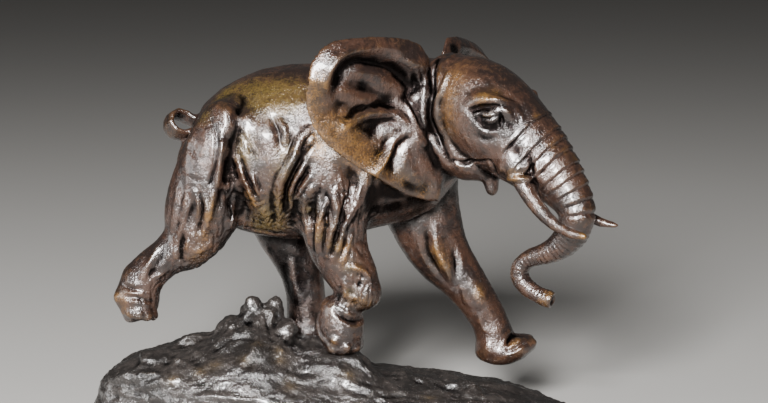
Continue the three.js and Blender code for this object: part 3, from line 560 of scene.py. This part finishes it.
# The camera looks at the middle of the photo, from a little above the elephant's right side.
LOOKED_AT = (0.0191, 0, 0.0872)
CAMERA_RISE, CAMERA_DISTANCE = math.radians(8), 0.915


def photo_camera():
    data = bpy.data.cameras.new("photo camera")
    data.lens, data.sensor_width = 110, 36
    data.clip_start, data.clip_end = 0.05, 50
    camera = placed("photo camera", data)
    back = Vector((0, -math.cos(CAMERA_RISE), math.sin(CAMERA_RISE)))
    camera.location = Vector(LOOKED_AT) + back * CAMERA_DISTANCE
    camera.rotation_mode = "QUATERNION"
    camera.rotation_quaternion = (-back).to_track_quat("-Z", "Y")
    bpy.context.scene.camera = camera


photo_camera()


# ---------------- clay

def unit(rows):
    length = np.linalg.norm(rows, axis=-1, keepdims=True)
    return rows / np.maximum(length, 1e-9)


def smoothstep(low, high, value):
    t = np.clip((value - low) / (high - low), 0, 1)
    return t * t * (3 - 2 * t)


def bell(distance, width):
    return np.exp(-((distance / width) ** 2))


def joined_copy(node):
    """A copy of a CAD node's mesh with the corners of its faces joined."""
    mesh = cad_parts[node].data.copy()
    shape = bmesh.new()
    shape.from_mesh(mesh)
    bmesh.ops.remove_doubles(shape, verts=shape.verts, dist=1e-6)
    shape.to_mesh(mesh)
    shape.free()
    return mesh


def through_modifier(mesh, kind, **settings):
    """The mesh with one modifier applied, as a new mesh."""
    carrier = placed("carrier", mesh)
    modifier = carrier.modifiers.new(kind.lower(), kind)
    for name, value in settings.items():
        setattr(modifier, name, value)
    seen = carrier.evaluated_get(bpy.context.evaluated_depsgraph_get())
    made = bpy.data.meshes.new_from_object(seen)
    bpy.data.objects.remove(carrier)
    return made


class Clay:
    """A mesh held as arrays in millimetres while it is modelled."""

    def __init__(self, mesh):
        self.mesh = mesh
        count = len(mesh.vertices)
        flat = np.empty(count * 3, np.float32)
        mesh.vertices.foreach_get("co", flat)
        self.points = flat.reshape(-1, 3).astype(np.float64) / MM
        mesh.calc_loop_triangles()
        corners = np.empty(len(mesh.loop_triangles) * 3, np.int32)
        mesh.loop_triangles.foreach_get("vertices", corners)
        self.triangles = corners.reshape(-1, 3)
        ends = np.empty(len(mesh.edges) * 2, np.int32)
        mesh.edges.foreach_get("vertices", ends)
        self.edges = ends.reshape(-1, 2)
        self.degree = np.maximum(np.bincount(ends, minlength=count), 1)

    def normals(self):
        a, b, c = (self.points[self.triangles[:, i]] for i in range(3))
        face = np.repeat(np.cross(b - a, c - a), 3, axis=0)
        corner = self.triangles.ravel()
        total = [np.bincount(corner, face[:, k], len(self.points)) for k in range(3)]
        return unit(np.stack(total, axis=1))

    def blur(self, values, rounds, share=0.5):
        """Each value drawn towards the mean of its neighbours, round after round."""
        made = values.reshape(len(self.points), -1).copy()
        i, j = self.edges.T
        share = np.broadcast_to(share, len(made))
        for _ in range(rounds):
            for k in range(made.shape[1]):
                column = made[:, k]
                total = np.bincount(i, column[j], len(made)) + np.bincount(j, column[i], len(made))
                made[:, k] = column + share * (total / self.degree - column)
        return made.reshape(values.shape)

    def soften(self, rounds, share=0.5):
        """Smooths the facets away and gives back the girth that smoothing takes."""
        smooth = self.blur(self.points, rounds, share)
        self.points = smooth + self.blur(self.points - smooth, rounds, share)

    def push(self, heights):
        """Moves the skin along its softened normals."""
        out = unit(self.blur(self.normals(), 4))
        self.points += out * heights[:, None]

    def finished(self):
        self.mesh.vertices.foreach_set("co", (self.points * MM).astype(np.float32).ravel())
        self.mesh.update()
        return self.mesh


def dense_skin(node, voxel):
    return Clay(through_modifier(joined_copy(node), "REMESH", mode="VOXEL", voxel_size=voxel * MM))


def thinned(clay, triangles):
    ratio = min(1.0, triangles / len(clay.triangles))
    made = through_modifier(clay.finished(), "DECIMATE", ratio=ratio, use_collapse_triangulate=True)
    return Clay(made)


# ---------------- strokes

def curve_through(points, step=0.4):
    """Points a short step apart on a smooth curve through the given ones, with their run 0..1."""
    points = np.asarray(points, float)
    if len(points) == 1:
        return points, np.array([0.5])
    padded = np.vstack([2 * points[0] - points[1], points, 2 * points[-1] - points[-2]])
    made = []
    for a, b, c, d in zip(padded, padded[1:], padded[2:], padded[3:]):
        count = max(1, int(np.linalg.norm(c - b) / step))
        t = np.linspace(0, 1, count, endpoint=False)[:, None]
        made.append(0.5 * (2 * b + (c - a) * t + (2 * a - 5 * b + 4 * c - d) * t**2
                           + (3 * b - a - 3 * c + d) * t**3))
    made = np.vstack(made + [points[-1:]])
    return made, np.linspace(0, 1, len(made))


# Strokes are felt this many half widths away from their line.
STROKE_REACH = 3.6


def stroke_profile(ratio):
    """A rounded ridge with a slight dip along both of its sides."""
    return bell(ratio, 1) - 0.2 * bell(ratio - 1.9, 0.7)


def stroke_heights(clay, strokes, normals):
    """How far every point of the skin moves under all the strokes together."""
    heights = np.zeros(len(clay.points))
    for width, height, line in strokes:
        spots, run = curve_through(line)
        taper = np.sin(np.pi * (0.1 + 0.8 * run)) ** 0.7
        reach = STROKE_REACH * width
        above, below = clay.points > spots.min(0) - reach, clay.points < spots.max(0) + reach
        near = np.flatnonzero(np.all(above & below, axis=1))
        if len(near) == 0:
            continue
        offset = clay.points[near, None, :] - spots[None, :, :]
        at = np.argmin((offset**2).sum(2), axis=0)
        out = normals[near[at]]
        along = np.clip((offset * out[None]).sum(2), -4, 4)
        squared = (offset**2).sum(2) - 0.8 * along**2
        best = np.argmin(squared, axis=1)
        distance = np.sqrt(np.maximum(squared[np.arange(len(near)), best], 0))
        facing = smoothstep(0.0, 0.5, (normals[near] * out[best]).sum(1))
        heights[near] += height * taper[best] * facing * stroke_profile(distance / width)
    return heights


# ---------------- head and ears

def turned(rows, angle):
    c, s = math.cos(angle), math.sin(angle)
    return rows @ np.array([[c, s, 0], [-s, c, 0], [0, 0, 1]])


def into_head(rows):
    return turned(np.asarray(rows, float) - HEAD_PIVOT, -HEAD_TURN)


def out_of_head(rows):
    return turned(np.asarray(rows, float), HEAD_TURN) + HEAD_PIVOT


def head_mirror(line):
    """The same line on the far side of the head."""
    return out_of_head(into_head(line) * (1, -1, 1))


def distance_to_line(line, a, b):
    """Distance in a plane from points (a, b) to a run of straight lines."""
    least = np.full(a.shape, 1e9)
    for (ax, ay), (bx, by) in zip(line, line[1:]):
        length = max((bx - ax) ** 2 + (by - ay) ** 2, 1e-9)
        t = np.clip(((a - ax) * (bx - ax) + (b - ay) * (by - ay)) / length, 0, 1)
        least = np.minimum(least, np.hypot(a - ax - t * (bx - ax), b - ay - t * (by - ay)))
    return least


# The ribs of the ear's sheet and the roll of its upper rim, as (line, width, height).
EAR_RIBS = [
    ([(46, 110), (40, 117.5), (26, 120.5), (12, 119), (3, 113)], 5, 4.6),
    ([(0, 92), (12, 95), (24, 96), (36, 91)], 4, 1.8),
    ([(0, 86), (9, 86), (16, 79), (21, 72)], 3.6, 1.8),
    ([(-5, 64), (-5, 84), (-3, 104)], 3, 1.6),
]


def ear_lift(a, b):
    cup = -6 * bell(a - 18, 24) * bell(b - 101, 22)
    curl = -0.004 * np.maximum(0, a - 26) ** 2
    return cup + curl + sum(h * bell(distance_to_line(line, a, b), w) for line, w, h in EAR_RIBS)


class Ear:
    """One ear's sheet: how far each point of the skin belongs to it, and where on it."""

    def __init__(self, clay, side, root, sweep, droop):
        angle = math.radians(sweep)
        local = into_head(clay.points) - (root[0], side * root[1], 0)
        out = np.array([-math.sin(angle), side * math.cos(angle), 0])
        self.face = np.array([math.cos(angle), side * math.sin(angle), 0])
        self.a = local @ out
        self.b = local[:, 2] + droop * np.maximum(0, self.a - 3)
        self.depth = local @ self.face - ear_lift(self.a, self.b)
        slab = 1 - smoothstep(EAR_THICKNESS / 2 + 0.9, EAR_THICKNESS / 2 + 2.4, np.abs(self.depth))
        reach = smoothstep(-3, 2, self.a) * (1 - smoothstep(48, 50, self.a))
        height = smoothstep(58, 62, self.b) * (1 - smoothstep(124, 126, self.b))
        self.share = slab * reach * height

    def bend(self, clay, strokes):
        """Folds the whole sheet, front and back together."""
        lift = np.zeros(len(clay.points))
        for width, height, line in strokes:
            curve, run = curve_through(line)
            close = distance_to_line(line, self.a, self.b) < STROKE_REACH * width
            near = np.flatnonzero(self.share * close)
            if len(near) == 0:
                continue
            away = np.hypot(self.a[near, None] - curve[:, 0], self.b[near, None] - curve[:, 1])
            best = np.argmin(away, axis=1)
            taper = np.sin(np.pi * (0.08 + 0.84 * run[best])) ** 0.7
            lift[near] += height * taper * stroke_profile(away[np.arange(len(near)), best] / width)
        world_face = turned(self.face[None], HEAD_TURN)[0]
        clay.points += world_face * (lift * self.share)[:, None]


# ---------------- the elephant

def rough_skin(points, size, octaves=3):
    """Even noise between about -1 and 1, with lumps of the given size in millimetres."""
    return np.array([noise.fractal(Vector(p), 0.9, 2.1, octaves) for p in points / size])


def noise_at(places):
    return np.array([noise.noise(Vector(p)) for p in places])


def wander(points, size):
    """Three slow noises, one for each axis, that bend a pattern out of true."""
    return np.stack([rough_skin(points + k * 40.0, size, 2) for k in range(3)], axis=1)


def near_any(clay, spots):
    """1 inside any of the balls (x, y, z, radius), fading to 0 outside them."""
    made = np.zeros(len(clay.points))
    for x, y, z, radius in spots:
        away = np.linalg.norm(clay.points - (x, y, z), axis=1)
        made = np.maximum(made, 1 - smoothstep(0.7 * radius, 1.2 * radius, away))
    return made


# Nails, tusk tips, tail and lip keep their edges; the skull and the trunk lose their facets.
FINE_SPOTS = [
    (-76, -22, 46.6, 9), (2.6, -22, 33.4, 9), (74, 12, 30, 9), (-14, 14, 34, 9),
    (93, -50, 82, 7), (103, -12, 88, 7), (-62, 0, 122, 9), (60, -33, 123, 6), (80, -28, 54, 5),
]
PLAIN_SPOTS = [(88, -26, 108, 15), (80, -22, 122, 12), (94, -30, 94, 12), (56, -8, 136, 22)]

# Where the hide hangs in fine upright folds, as balls (x, y, z, radius) on the near side.
FOLDED_SPOTS = [
    (-46, -20, 70, 16), (-58, -20, 56, 14), (-20, -26, 84, 14), (0, -28, 88, 14),
    (14, -24, 78, 12), (8, -20, 56, 10), (-36, -24, 92, 10),
]

# The trunk's axis in the head's plane, along and up from its pivot, with the trunk's radius.
TRUNK_AXIS = [
    (36, 87, 15), (42, 82, 14.6), (49.5, 76, 13.2), (54.6, 71, 11.2), (58.8, 66, 9.2),
    (61.4, 61.6, 7.9), (62.2, 57, 7.4), (61.4, 54, 7.1), (58.2, 48.8, 6.2), (54, 45.2, 5.3),
    (49, 42.6, 4.4), (43.2, 40.6, 3.7), (39, 37.2, 3.7), (38.4, 33.4, 3.8), (40.8, 29.8, 3.6),
    (44.8, 27.2, 3.4), (49.4, 25.6, 3.4), (52.4, 25, 3.6),
]
# How far down the axis each ring is cut; past the last one come fine close rings.
TRUNK_RINGS = (5, 12.1, 16.1, 19.7, 24.2, 28, 32, 35.8, 39.1)
FINE_RINGS_FROM, FINE_RING_PITCH = 42, 1.75


def body_mirror(strokes):
    return [(w, h, [(x, -y, z) for x, y, z in line]) for w, h, line in strokes]


def trunk_rings(clay):
    """Cut rings over the front of the trunk: how far they move the skin."""
    axis, _ = curve_through(TRUNK_AXIS, 0.5)
    middle, radius = axis[:, :2], axis[:, 2]
    steps = np.linalg.norm(np.diff(middle, axis=0), axis=1)
    down = np.concatenate([[0], np.cumsum(steps)])
    ahead = unit(np.gradient(middle, axis=0))
    front = np.stack([-ahead[:, 1], ahead[:, 0]], axis=1)

    local = into_head(clay.points)
    near = np.flatnonzero((local[:, 0] > 30) & (np.abs(local[:, 1]) < 17) & (local[:, 2] < 104))
    away = local[near][:, (0, 2)][:, None, :] - middle[None]
    best = np.argmin((away**2).sum(2), axis=1)
    offset = away[np.arange(len(near)), best]
    side = (offset * front[best]).sum(1) / radius[best]
    girth = np.hypot(side, local[near, 1] / radius[best])
    along = down[best] + (offset * ahead[best]).sum(1) + 0.5 * rough_skin(clay.points[near], 7, 2)

    made = np.zeros(len(near))
    for ring in TRUNK_RINGS:
        made += 0.34 * bell(along - ring + 1, 0.75) - 0.5 * bell(along - ring, 0.55)
    made *= smoothstep(-0.55, 0.1, side)
    fine = smoothstep(FINE_RINGS_FROM - 1, FINE_RINGS_FROM + 2, along)
    fine *= np.cos(2 * math.pi * along / FINE_RING_PITCH)
    made += 0.13 * fine * smoothstep(-0.9, 0.3, side)
    heights = np.zeros(len(clay.points))
    heights[near] = made * (1 - smoothstep(1.2, 1.5, girth)) * smoothstep(0.4, 0.6, girth)
    return heights


def hide_folds(clay):
    """Fine folds hanging down the loose parts of the hide, cut as creases between soft welts."""
    wave = noise_at(clay.points * (0.46, 0.46, 0.13) + 0.5 * wander(clay.points, 11))
    cross = noise_at(clay.points * (0.3, 0.3, 0.34) + 17)
    crease = -bell(wave, 0.13) + 0.35 * smoothstep(0.1, 0.4, np.abs(wave))
    return 0.3 * crease - 0.16 * bell(cross, 0.1)


def model_elephant():
    clay = dense_skin("elephant", ELEPHANT_VOXEL)
    ears = [Ear(clay, **NEAR_EAR), Ear(clay, **FAR_EAR)]
    ear_share = np.maximum(ears[0].share, ears[1].share)
    # The solid's facets go, gently on the thin ears and the small forms.
    fine = near_any(clay, FINE_SPOTS)
    clay.soften(64, 0.5 * (1 - 0.6 * ear_share) * (1 - 0.8 * fine))
    clay.soften(50, 0.5 * near_any(clay, PLAIN_SPOTS) * (1 - ear_share))

    for ear in ears:
        ear.bend(clay, EAR_STROKES)

    normals = unit(clay.blur(clay.normals(), 8))
    face = FACE_STROKES + [(w, h, head_mirror(line)) for w, h, line in FACE_STROKES]
    flank = body_mirror(FLANK_STROKES)
    body = stroke_heights(clay, HIDE_STROKES + FLANK_STROKES + flank, normals) * (1 - ear_share)
    clay.push(body + stroke_heights(clay, face, normals))
    clay.soften(2)

    # The ears take no hide folds and little of the rough skin.
    folded = np.maximum(near_any(clay, FOLDED_SPOTS), 0.15) * (1 - near_any(clay, PLAIN_SPOTS))
    clay.push(trunk_rings(clay) + (1 - ear_share) * folded * hide_folds(clay))
    rough = 0.1 * rough_skin(clay.points, 5.5) + 0.05 * rough_skin(clay.points, 1.8, 2)
    clay.push((1 - 0.7 * ear_share) * rough)
    return clay


# ---------------- the mound

# The lump between the crest and the planted foot is worn smooth.
SMOOTH_CRAGS = [(-18, -2, 39, 9)]


def model_mound(elephant_points):
    clay = dense_skin("rocky_mound", MOUND_VOXEL)
    clay.soften(16)
    normals = unit(clay.blur(clay.normals(), 6))
    # Crags fade out towards the underside and near the elephant's feet.
    free = smoothstep(0.6, 5, clay.points[:, 2])
    low = elephant_points[elephant_points[:, 2] < 60]
    tree = KDTree(len(low))
    for i, spot in enumerate(low):
        tree.insert(spot, i)
    tree.balance()
    room = np.array([tree.find(spot)[2] for spot in clay.points])
    free *= smoothstep(1.2, 4, room)
    clay.soften(60, 0.5 * near_any(clay, SMOOTH_CRAGS))

    flow = clay.points * (0.055, 0.1, 0.13) + 0.35 * wander(clay.points, 22)
    ridges = np.array([noise.ridged_multi_fractal(Vector(p), 0.8, 2.1, 5, 1.0, 2.0) for p in flow])
    ridges = (ridges - ridges.mean()) / ridges.std()
    strokes = stroke_heights(clay, ROCK_STROKES, normals)
    clay.push(free * (0.36 * np.clip(ridges, -2, 1.6) - 0.4 + strokes
                      + 0.1 * rough_skin(clay.points, 2.2, 3)))
    return clay


# ---------------- finishing the skins

def keep_inside(clay, node):
    low, high = (np.array(corner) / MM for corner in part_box(node))
    clay.points = np.clip(clay.points, low, high)


def keep_clear(clay, other, gap=0.12):
    """Moves points of one casting that touch the other out of it."""
    tree = BVHTree.FromPolygons(other.points.tolist(), other.triangles.tolist())
    low, high = other.points.min(0) - 1, other.points.max(0) + 1
    for i in np.flatnonzero(np.all((clay.points > low) & (clay.points < high), axis=1)):
        spot, normal, _, _ = tree.find_nearest(Vector(clay.points[i]), 3.0)
        if spot is None:
            continue
        height = (Vector(clay.points[i]) - spot).dot(normal)
        if height < gap:
            clay.points[i] += np.array(normal) * (gap - height)


def add_attribute(mesh, name, values):
    layer = mesh.attributes.new(name, "FLOAT", "POINT")
    layer.data.foreach_set("value", values.astype(np.float32))


def relief_of(clay, rounds, scale):
    """How far each point stands out of its surroundings, -1 in a hollow to 1 on an edge."""
    smooth = clay.blur(clay.points, rounds)
    height = ((clay.points - smooth) * clay.normals()).sum(1)
    return np.clip(clay.blur(height, 2) / scale, -1, 1)


def patch_of(clay, groups):
    """How strongly each point lies in the patches (radius, middles), 0 to 1."""
    left = np.ones(len(clay.points))
    for radius, middles in groups:
        for middle in middles:
            left *= 1 - 0.8 * bell(np.linalg.norm(clay.points - middle, axis=1), radius)
    return 1 - left


def shown(name, clay, node):
    mesh = clay.finished()
    mesh.name = name
    mesh.shade_smooth()
    piece = placed(name, mesh)
    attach(piece, "root")
    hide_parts(node)
    return piece


# ---------------- patina

def node_of(tree, kind):
    return next(n for n in tree.nodes if n.type == kind)


def new_material(name):
    material = bpy.data.materials.new(name)
    material.use_nodes = True
    return material, material.node_tree, node_of(material.node_tree, "BSDF_PRINCIPLED")


def new_group(name, inputs, outputs):
    tree = bpy.data.node_groups.new(name, "ShaderNodeTree")
    kinds = {"value": "NodeSocketFloat", "colour": "NodeSocketColor"}
    for label, kind in inputs.items():
        tree.interface.new_socket(name=label, in_out="INPUT", socket_type=kinds[kind])
    for label, kind in outputs.items():
        tree.interface.new_socket(name=label, in_out="OUTPUT", socket_type=kinds[kind])
    return tree, tree.nodes.new("NodeGroupInput"), tree.nodes.new("NodeGroupOutput")


def feed(tree, socket, value):
    if isinstance(value, bpy.types.NodeSocket):
        tree.links.new(value, socket)
    else:
        socket.default_value = value


def math_of(tree, operation, a, b):
    made = tree.nodes.new("ShaderNodeMath")
    made.operation = operation
    feed(tree, made.inputs[0], a)
    feed(tree, made.inputs[1], b)
    return made.outputs[0]


def blend_of(tree, share, a, b):
    made = tree.nodes.new("ShaderNodeMix")
    made.data_type = "RGBA"
    for name, value in (("Factor_Float", share), ("A_Color", a), ("B_Color", b)):
        feed(tree, next(s for s in made.inputs if s.identifier == name), value)
    return next(s for s in made.outputs if s.identifier == "Result_Color")


def range_of(tree, value, low, high, to_low=0.0, to_high=1.0):
    made = tree.nodes.new("ShaderNodeMapRange")
    made.interpolation_type = "SMOOTHSTEP"
    for name, given in (("Value", value), ("From Min", low), ("From Max", high),
                        ("To Min", to_low), ("To Max", to_high)):
        feed(tree, made.inputs[name], given)
    return made.outputs["Result"]


def noise_of(tree, place, scale, detail=4.0, roughness=0.55, warp=0.0):
    made = tree.nodes.new("ShaderNodeTexNoise")
    tree.links.new(place, made.inputs["Vector"])
    for name, value in (("Scale", scale), ("Detail", detail), ("Roughness", roughness),
                        ("Distortion", warp)):
        made.inputs[name].default_value = value
    return made.outputs["Fac"]


def hatch_of(tree, place, turn):
    """Fine scratches down the hide, as a noise drawn out along its height."""
    stretch = tree.nodes.new("ShaderNodeMapping")
    stretch.inputs["Rotation"].default_value = (0, math.radians(turn), 0)
    stretch.inputs["Scale"].default_value = (1, 1, 0.22)
    tree.links.new(place, stretch.inputs["Vector"])
    return noise_of(tree, stretch.outputs["Vector"], 1100, 3, 0.6)


def bronze_patina():
    """Shared by both castings: brown lacquer over bronze, rubbed on edges, dark in hollows with
    dark patina and painted shade.
    """
    tree, given, out = new_group(
        "Bronze Patina",
        {"Deep": "colour", "Warm": "colour", "Hollow Shade": "colour", "Rubbed": "colour",
         "Olive": "colour", "Relief": "value", "Gilt": "value", "Moss": "value"},
        {"Color": "colour", "Metallic": "value", "Roughness": "value", "Coat": "value",
         "Height": "value"})
    place = tree.nodes.new("ShaderNodeTexCoord").outputs["Object"]
    relief, gilt, moss = (given.outputs[name] for name in ("Relief", "Gilt", "Moss"))
    clouds = noise_of(tree, place, 75, 5)
    mottle = noise_of(tree, place, 420, 6, 0.62, 0.4)
    flecks = noise_of(tree, place, 1800, 5, 0.7)
    stipple = noise_of(tree, place, 1250, 4, 0.6)
    hatch = hatch_of(tree, place, 12)

    def times(a, b):
        return math_of(tree, "MULTIPLY", a, b)

    def plus(a, b):
        return math_of(tree, "ADD", a, b)

    mixed = range_of(tree, plus(times(clouds, 0.55), times(mottle, 0.45)), 0.42, 0.6)
    colour = blend_of(tree, mixed, given.outputs["Deep"], given.outputs["Warm"])
    grain = plus(times(flecks, 0.75), times(mottle, 0.25))
    grown = times(range_of(tree, plus(grain, times(moss, 0.2)), 0.56, 0.76), moss)
    colour = blend_of(tree, times(grown, 0.8), colour, given.outputs["Olive"])
    colour = blend_of(tree, times(gilt, 0.07), colour, given.outputs["Rubbed"])
    # Painted shade: hollows, and the painted shade spots carried in the relief, blend to a
    # near-black colour; partly dark patina in the creases.
    hollow = range_of(tree, relief, 0.05, -0.75)
    colour = blend_of(tree, times(hollow, 0.9), colour, given.outputs["Hollow Shade"])

    edge = plus(times(relief, 0.5), times(mottle, 0.8))
    rubbed = times(range_of(tree, edge, 0.6, 0.95), plus(times(gilt, 0.4), 0.05))
    worn = range_of(tree, plus(grain, times(gilt, 0.17)), 0.6, 0.76)
    worn = times(worn, plus(times(gilt, 0.35), 0.1))
    share = math_of(tree, "MAXIMUM", rubbed, worn)
    colour = blend_of(tree, share, colour, given.outputs["Rubbed"])
    tree.links.new(colour, out.inputs["Color"])

    rough = range_of(tree, mottle, 0.3, 0.7, 0.16, 0.3)
    tree.links.new(plus(rough, times(hollow, 0.08)), out.inputs["Roughness"])
    # Painted shade as well: in the hollows metallic rises and the coat thins so their sheen goes
    # dark; on rubbed parts the metal shows for real.
    rubbed_and_shaded = math_of(tree, "MAXIMUM", times(hollow, 0.92), times(share, 0.9))
    tree.links.new(range_of(tree, rubbed_and_shaded, 0, 1, 0.35, 1), out.inputs["Metallic"])
    tree.links.new(range_of(tree, hollow, 0, 1, 0.45, 0.12), out.inputs["Coat"])
    dents = plus(times(stipple, 0.7), plus(times(hatch, 0.6), times(mottle, 0.5)))
    tree.links.new(dents, out.inputs["Height"])
    return tree


PATINA = bronze_patina()

# The near-black hollow colour in each table is painted shade, partly dark patina.
ELEPHANT_COLOURS = {
    "Deep": (0.014, 0.0085, 0.007), "Warm": (0.042, 0.02, 0.0125), "Hollow Shade": (0.004, 0.003, 0.003),
    "Rubbed": (0.32, 0.16, 0.035), "Olive": (0.1, 0.066, 0.014),
}
MOUND_COLOURS = {
    "Deep": (0.014, 0.012, 0.011), "Warm": (0.035, 0.029, 0.026), "Hollow Shade": (0.006, 0.005, 0.005),
    "Rubbed": (0.3, 0.2, 0.09), "Olive": (0.05, 0.045, 0.02),
}


def bronze(name, colours, grain):
    """A material of one casting; its fine dents are grain millimetres deep."""
    material, tree, shader = new_material(name)
    patina = tree.nodes.new("ShaderNodeGroup")
    patina.node_tree = PATINA
    for label, colour in colours.items():
        patina.inputs[label].default_value = (*colour, 1)
    for label in ("Relief", "Gilt", "Moss"):
        reader = tree.nodes.new("ShaderNodeAttribute")
        reader.attribute_name = label.lower()
        tree.links.new(reader.outputs["Fac"], patina.inputs[label])
    for given, taken in (("Color", "Base Color"), ("Metallic", "Metallic"),
                         ("Roughness", "Roughness"), ("Coat", "Coat Weight")):
        tree.links.new(patina.outputs[given], shader.inputs[taken])
    bump = tree.nodes.new("ShaderNodeBump")
    bump.inputs["Strength"].default_value = 1.0
    bump.inputs["Distance"].default_value = grain * MM
    tree.links.new(patina.outputs["Height"], bump.inputs["Height"])
    tree.links.new(bump.outputs["Normal"], shader.inputs["Normal"])
    shader.inputs["Specular IOR Level"].default_value = 1.0
    shader.inputs["Coat Roughness"].default_value = 0.12
    return material


def dress(piece, clay, relief, gilt, moss, material):
    """Gives a skin the values that its patina reads, and the patina itself."""
    mesh = piece.data
    add_attribute(mesh, "relief", relief)
    add_attribute(mesh, "gilt", patch_of(clay, gilt))
    add_attribute(mesh, "moss", patch_of(clay, moss))
    mesh.materials.clear()
    mesh.materials.append(material)


# ---------------- floor and light

# Each soft box's place, side and watts, and the spot that all of them face.
SOFT_BOXES = [
    ("front box", (-0.2, -1.1, 0.54), 0.32, 80),
    ("left box", (-1.15, -0.35, 0.3), 0.4, 5),
]
LIT_SPOT = (0.02, 0, 0.09)


def stage():
    shape = bmesh.new()
    bmesh.ops.create_circle(shape, cap_ends=True, segments=96, radius=9)
    mesh = bpy.data.meshes.new("floor")
    shape.to_mesh(mesh)
    shape.free()
    floor = placed("floor", mesh)
    material, _, shader = new_material("pale floor")
    shader.inputs["Base Color"].default_value = (0.3, 0.29, 0.275, 1)
    shader.inputs["Roughness"].default_value = 0.9
    mesh.materials.append(material)

    world = bpy.data.worlds.new("studio")
    world.use_nodes = True
    ground = node_of(world.node_tree, "BACKGROUND")
    ground.inputs["Color"].default_value = (0.8, 0.78, 0.76, 1)
    ground.inputs["Strength"].default_value = 0.1
    bpy.context.scene.world = world

    for name, place, size, power in SOFT_BOXES:
        light = bpy.data.lights.new(name, "AREA")
        light.size, light.energy = size, power
        lamp = placed(name, light)
        lamp.location = place
        lamp.rotation_mode = "QUATERNION"
        aim = Vector(LIT_SPOT) - Vector(place)
        lamp.rotation_quaternion = aim.to_track_quat("-Z", "Y")


stage()

elephant_clay = model_elephant()
mound_clay = model_mound(elephant_clay.points)
elephant_clay = thinned(elephant_clay, ELEPHANT_TRIANGLES)
mound_clay = thinned(mound_clay, MOUND_TRIANGLES)
for clay, node in ((elephant_clay, "elephant"), (mound_clay, "rocky_mound")):
    keep_inside(clay, node)
keep_clear(mound_clay, elephant_clay)

elephant = shown("elephant_skin", elephant_clay, "elephant")
# The relief also carries the painted shade spots, so those shaded places are painted dark like deep
# hollows.
relief = relief_of(elephant_clay, 16, 0.42) - 0.75 * patch_of(elephant_clay, PAINTED_SHADE_SPOTS)
dress(elephant, elephant_clay, relief, GILT_SPOTS, OLIVE_SPOTS,
      bronze("elephant bronze", ELEPHANT_COLOURS, grain=0.36))

mound = shown("mound_skin", mound_clay, "rocky_mound")
# The mound's crevices are painted dark from this relief: painted shade, partly dark patina.
dress(mound, mound_clay, relief_of(mound_clay, 12, 0.75), ROCK_GILT_SPOTS, [],
      bronze("mound bronze", MOUND_COLOURS, grain=0.5))
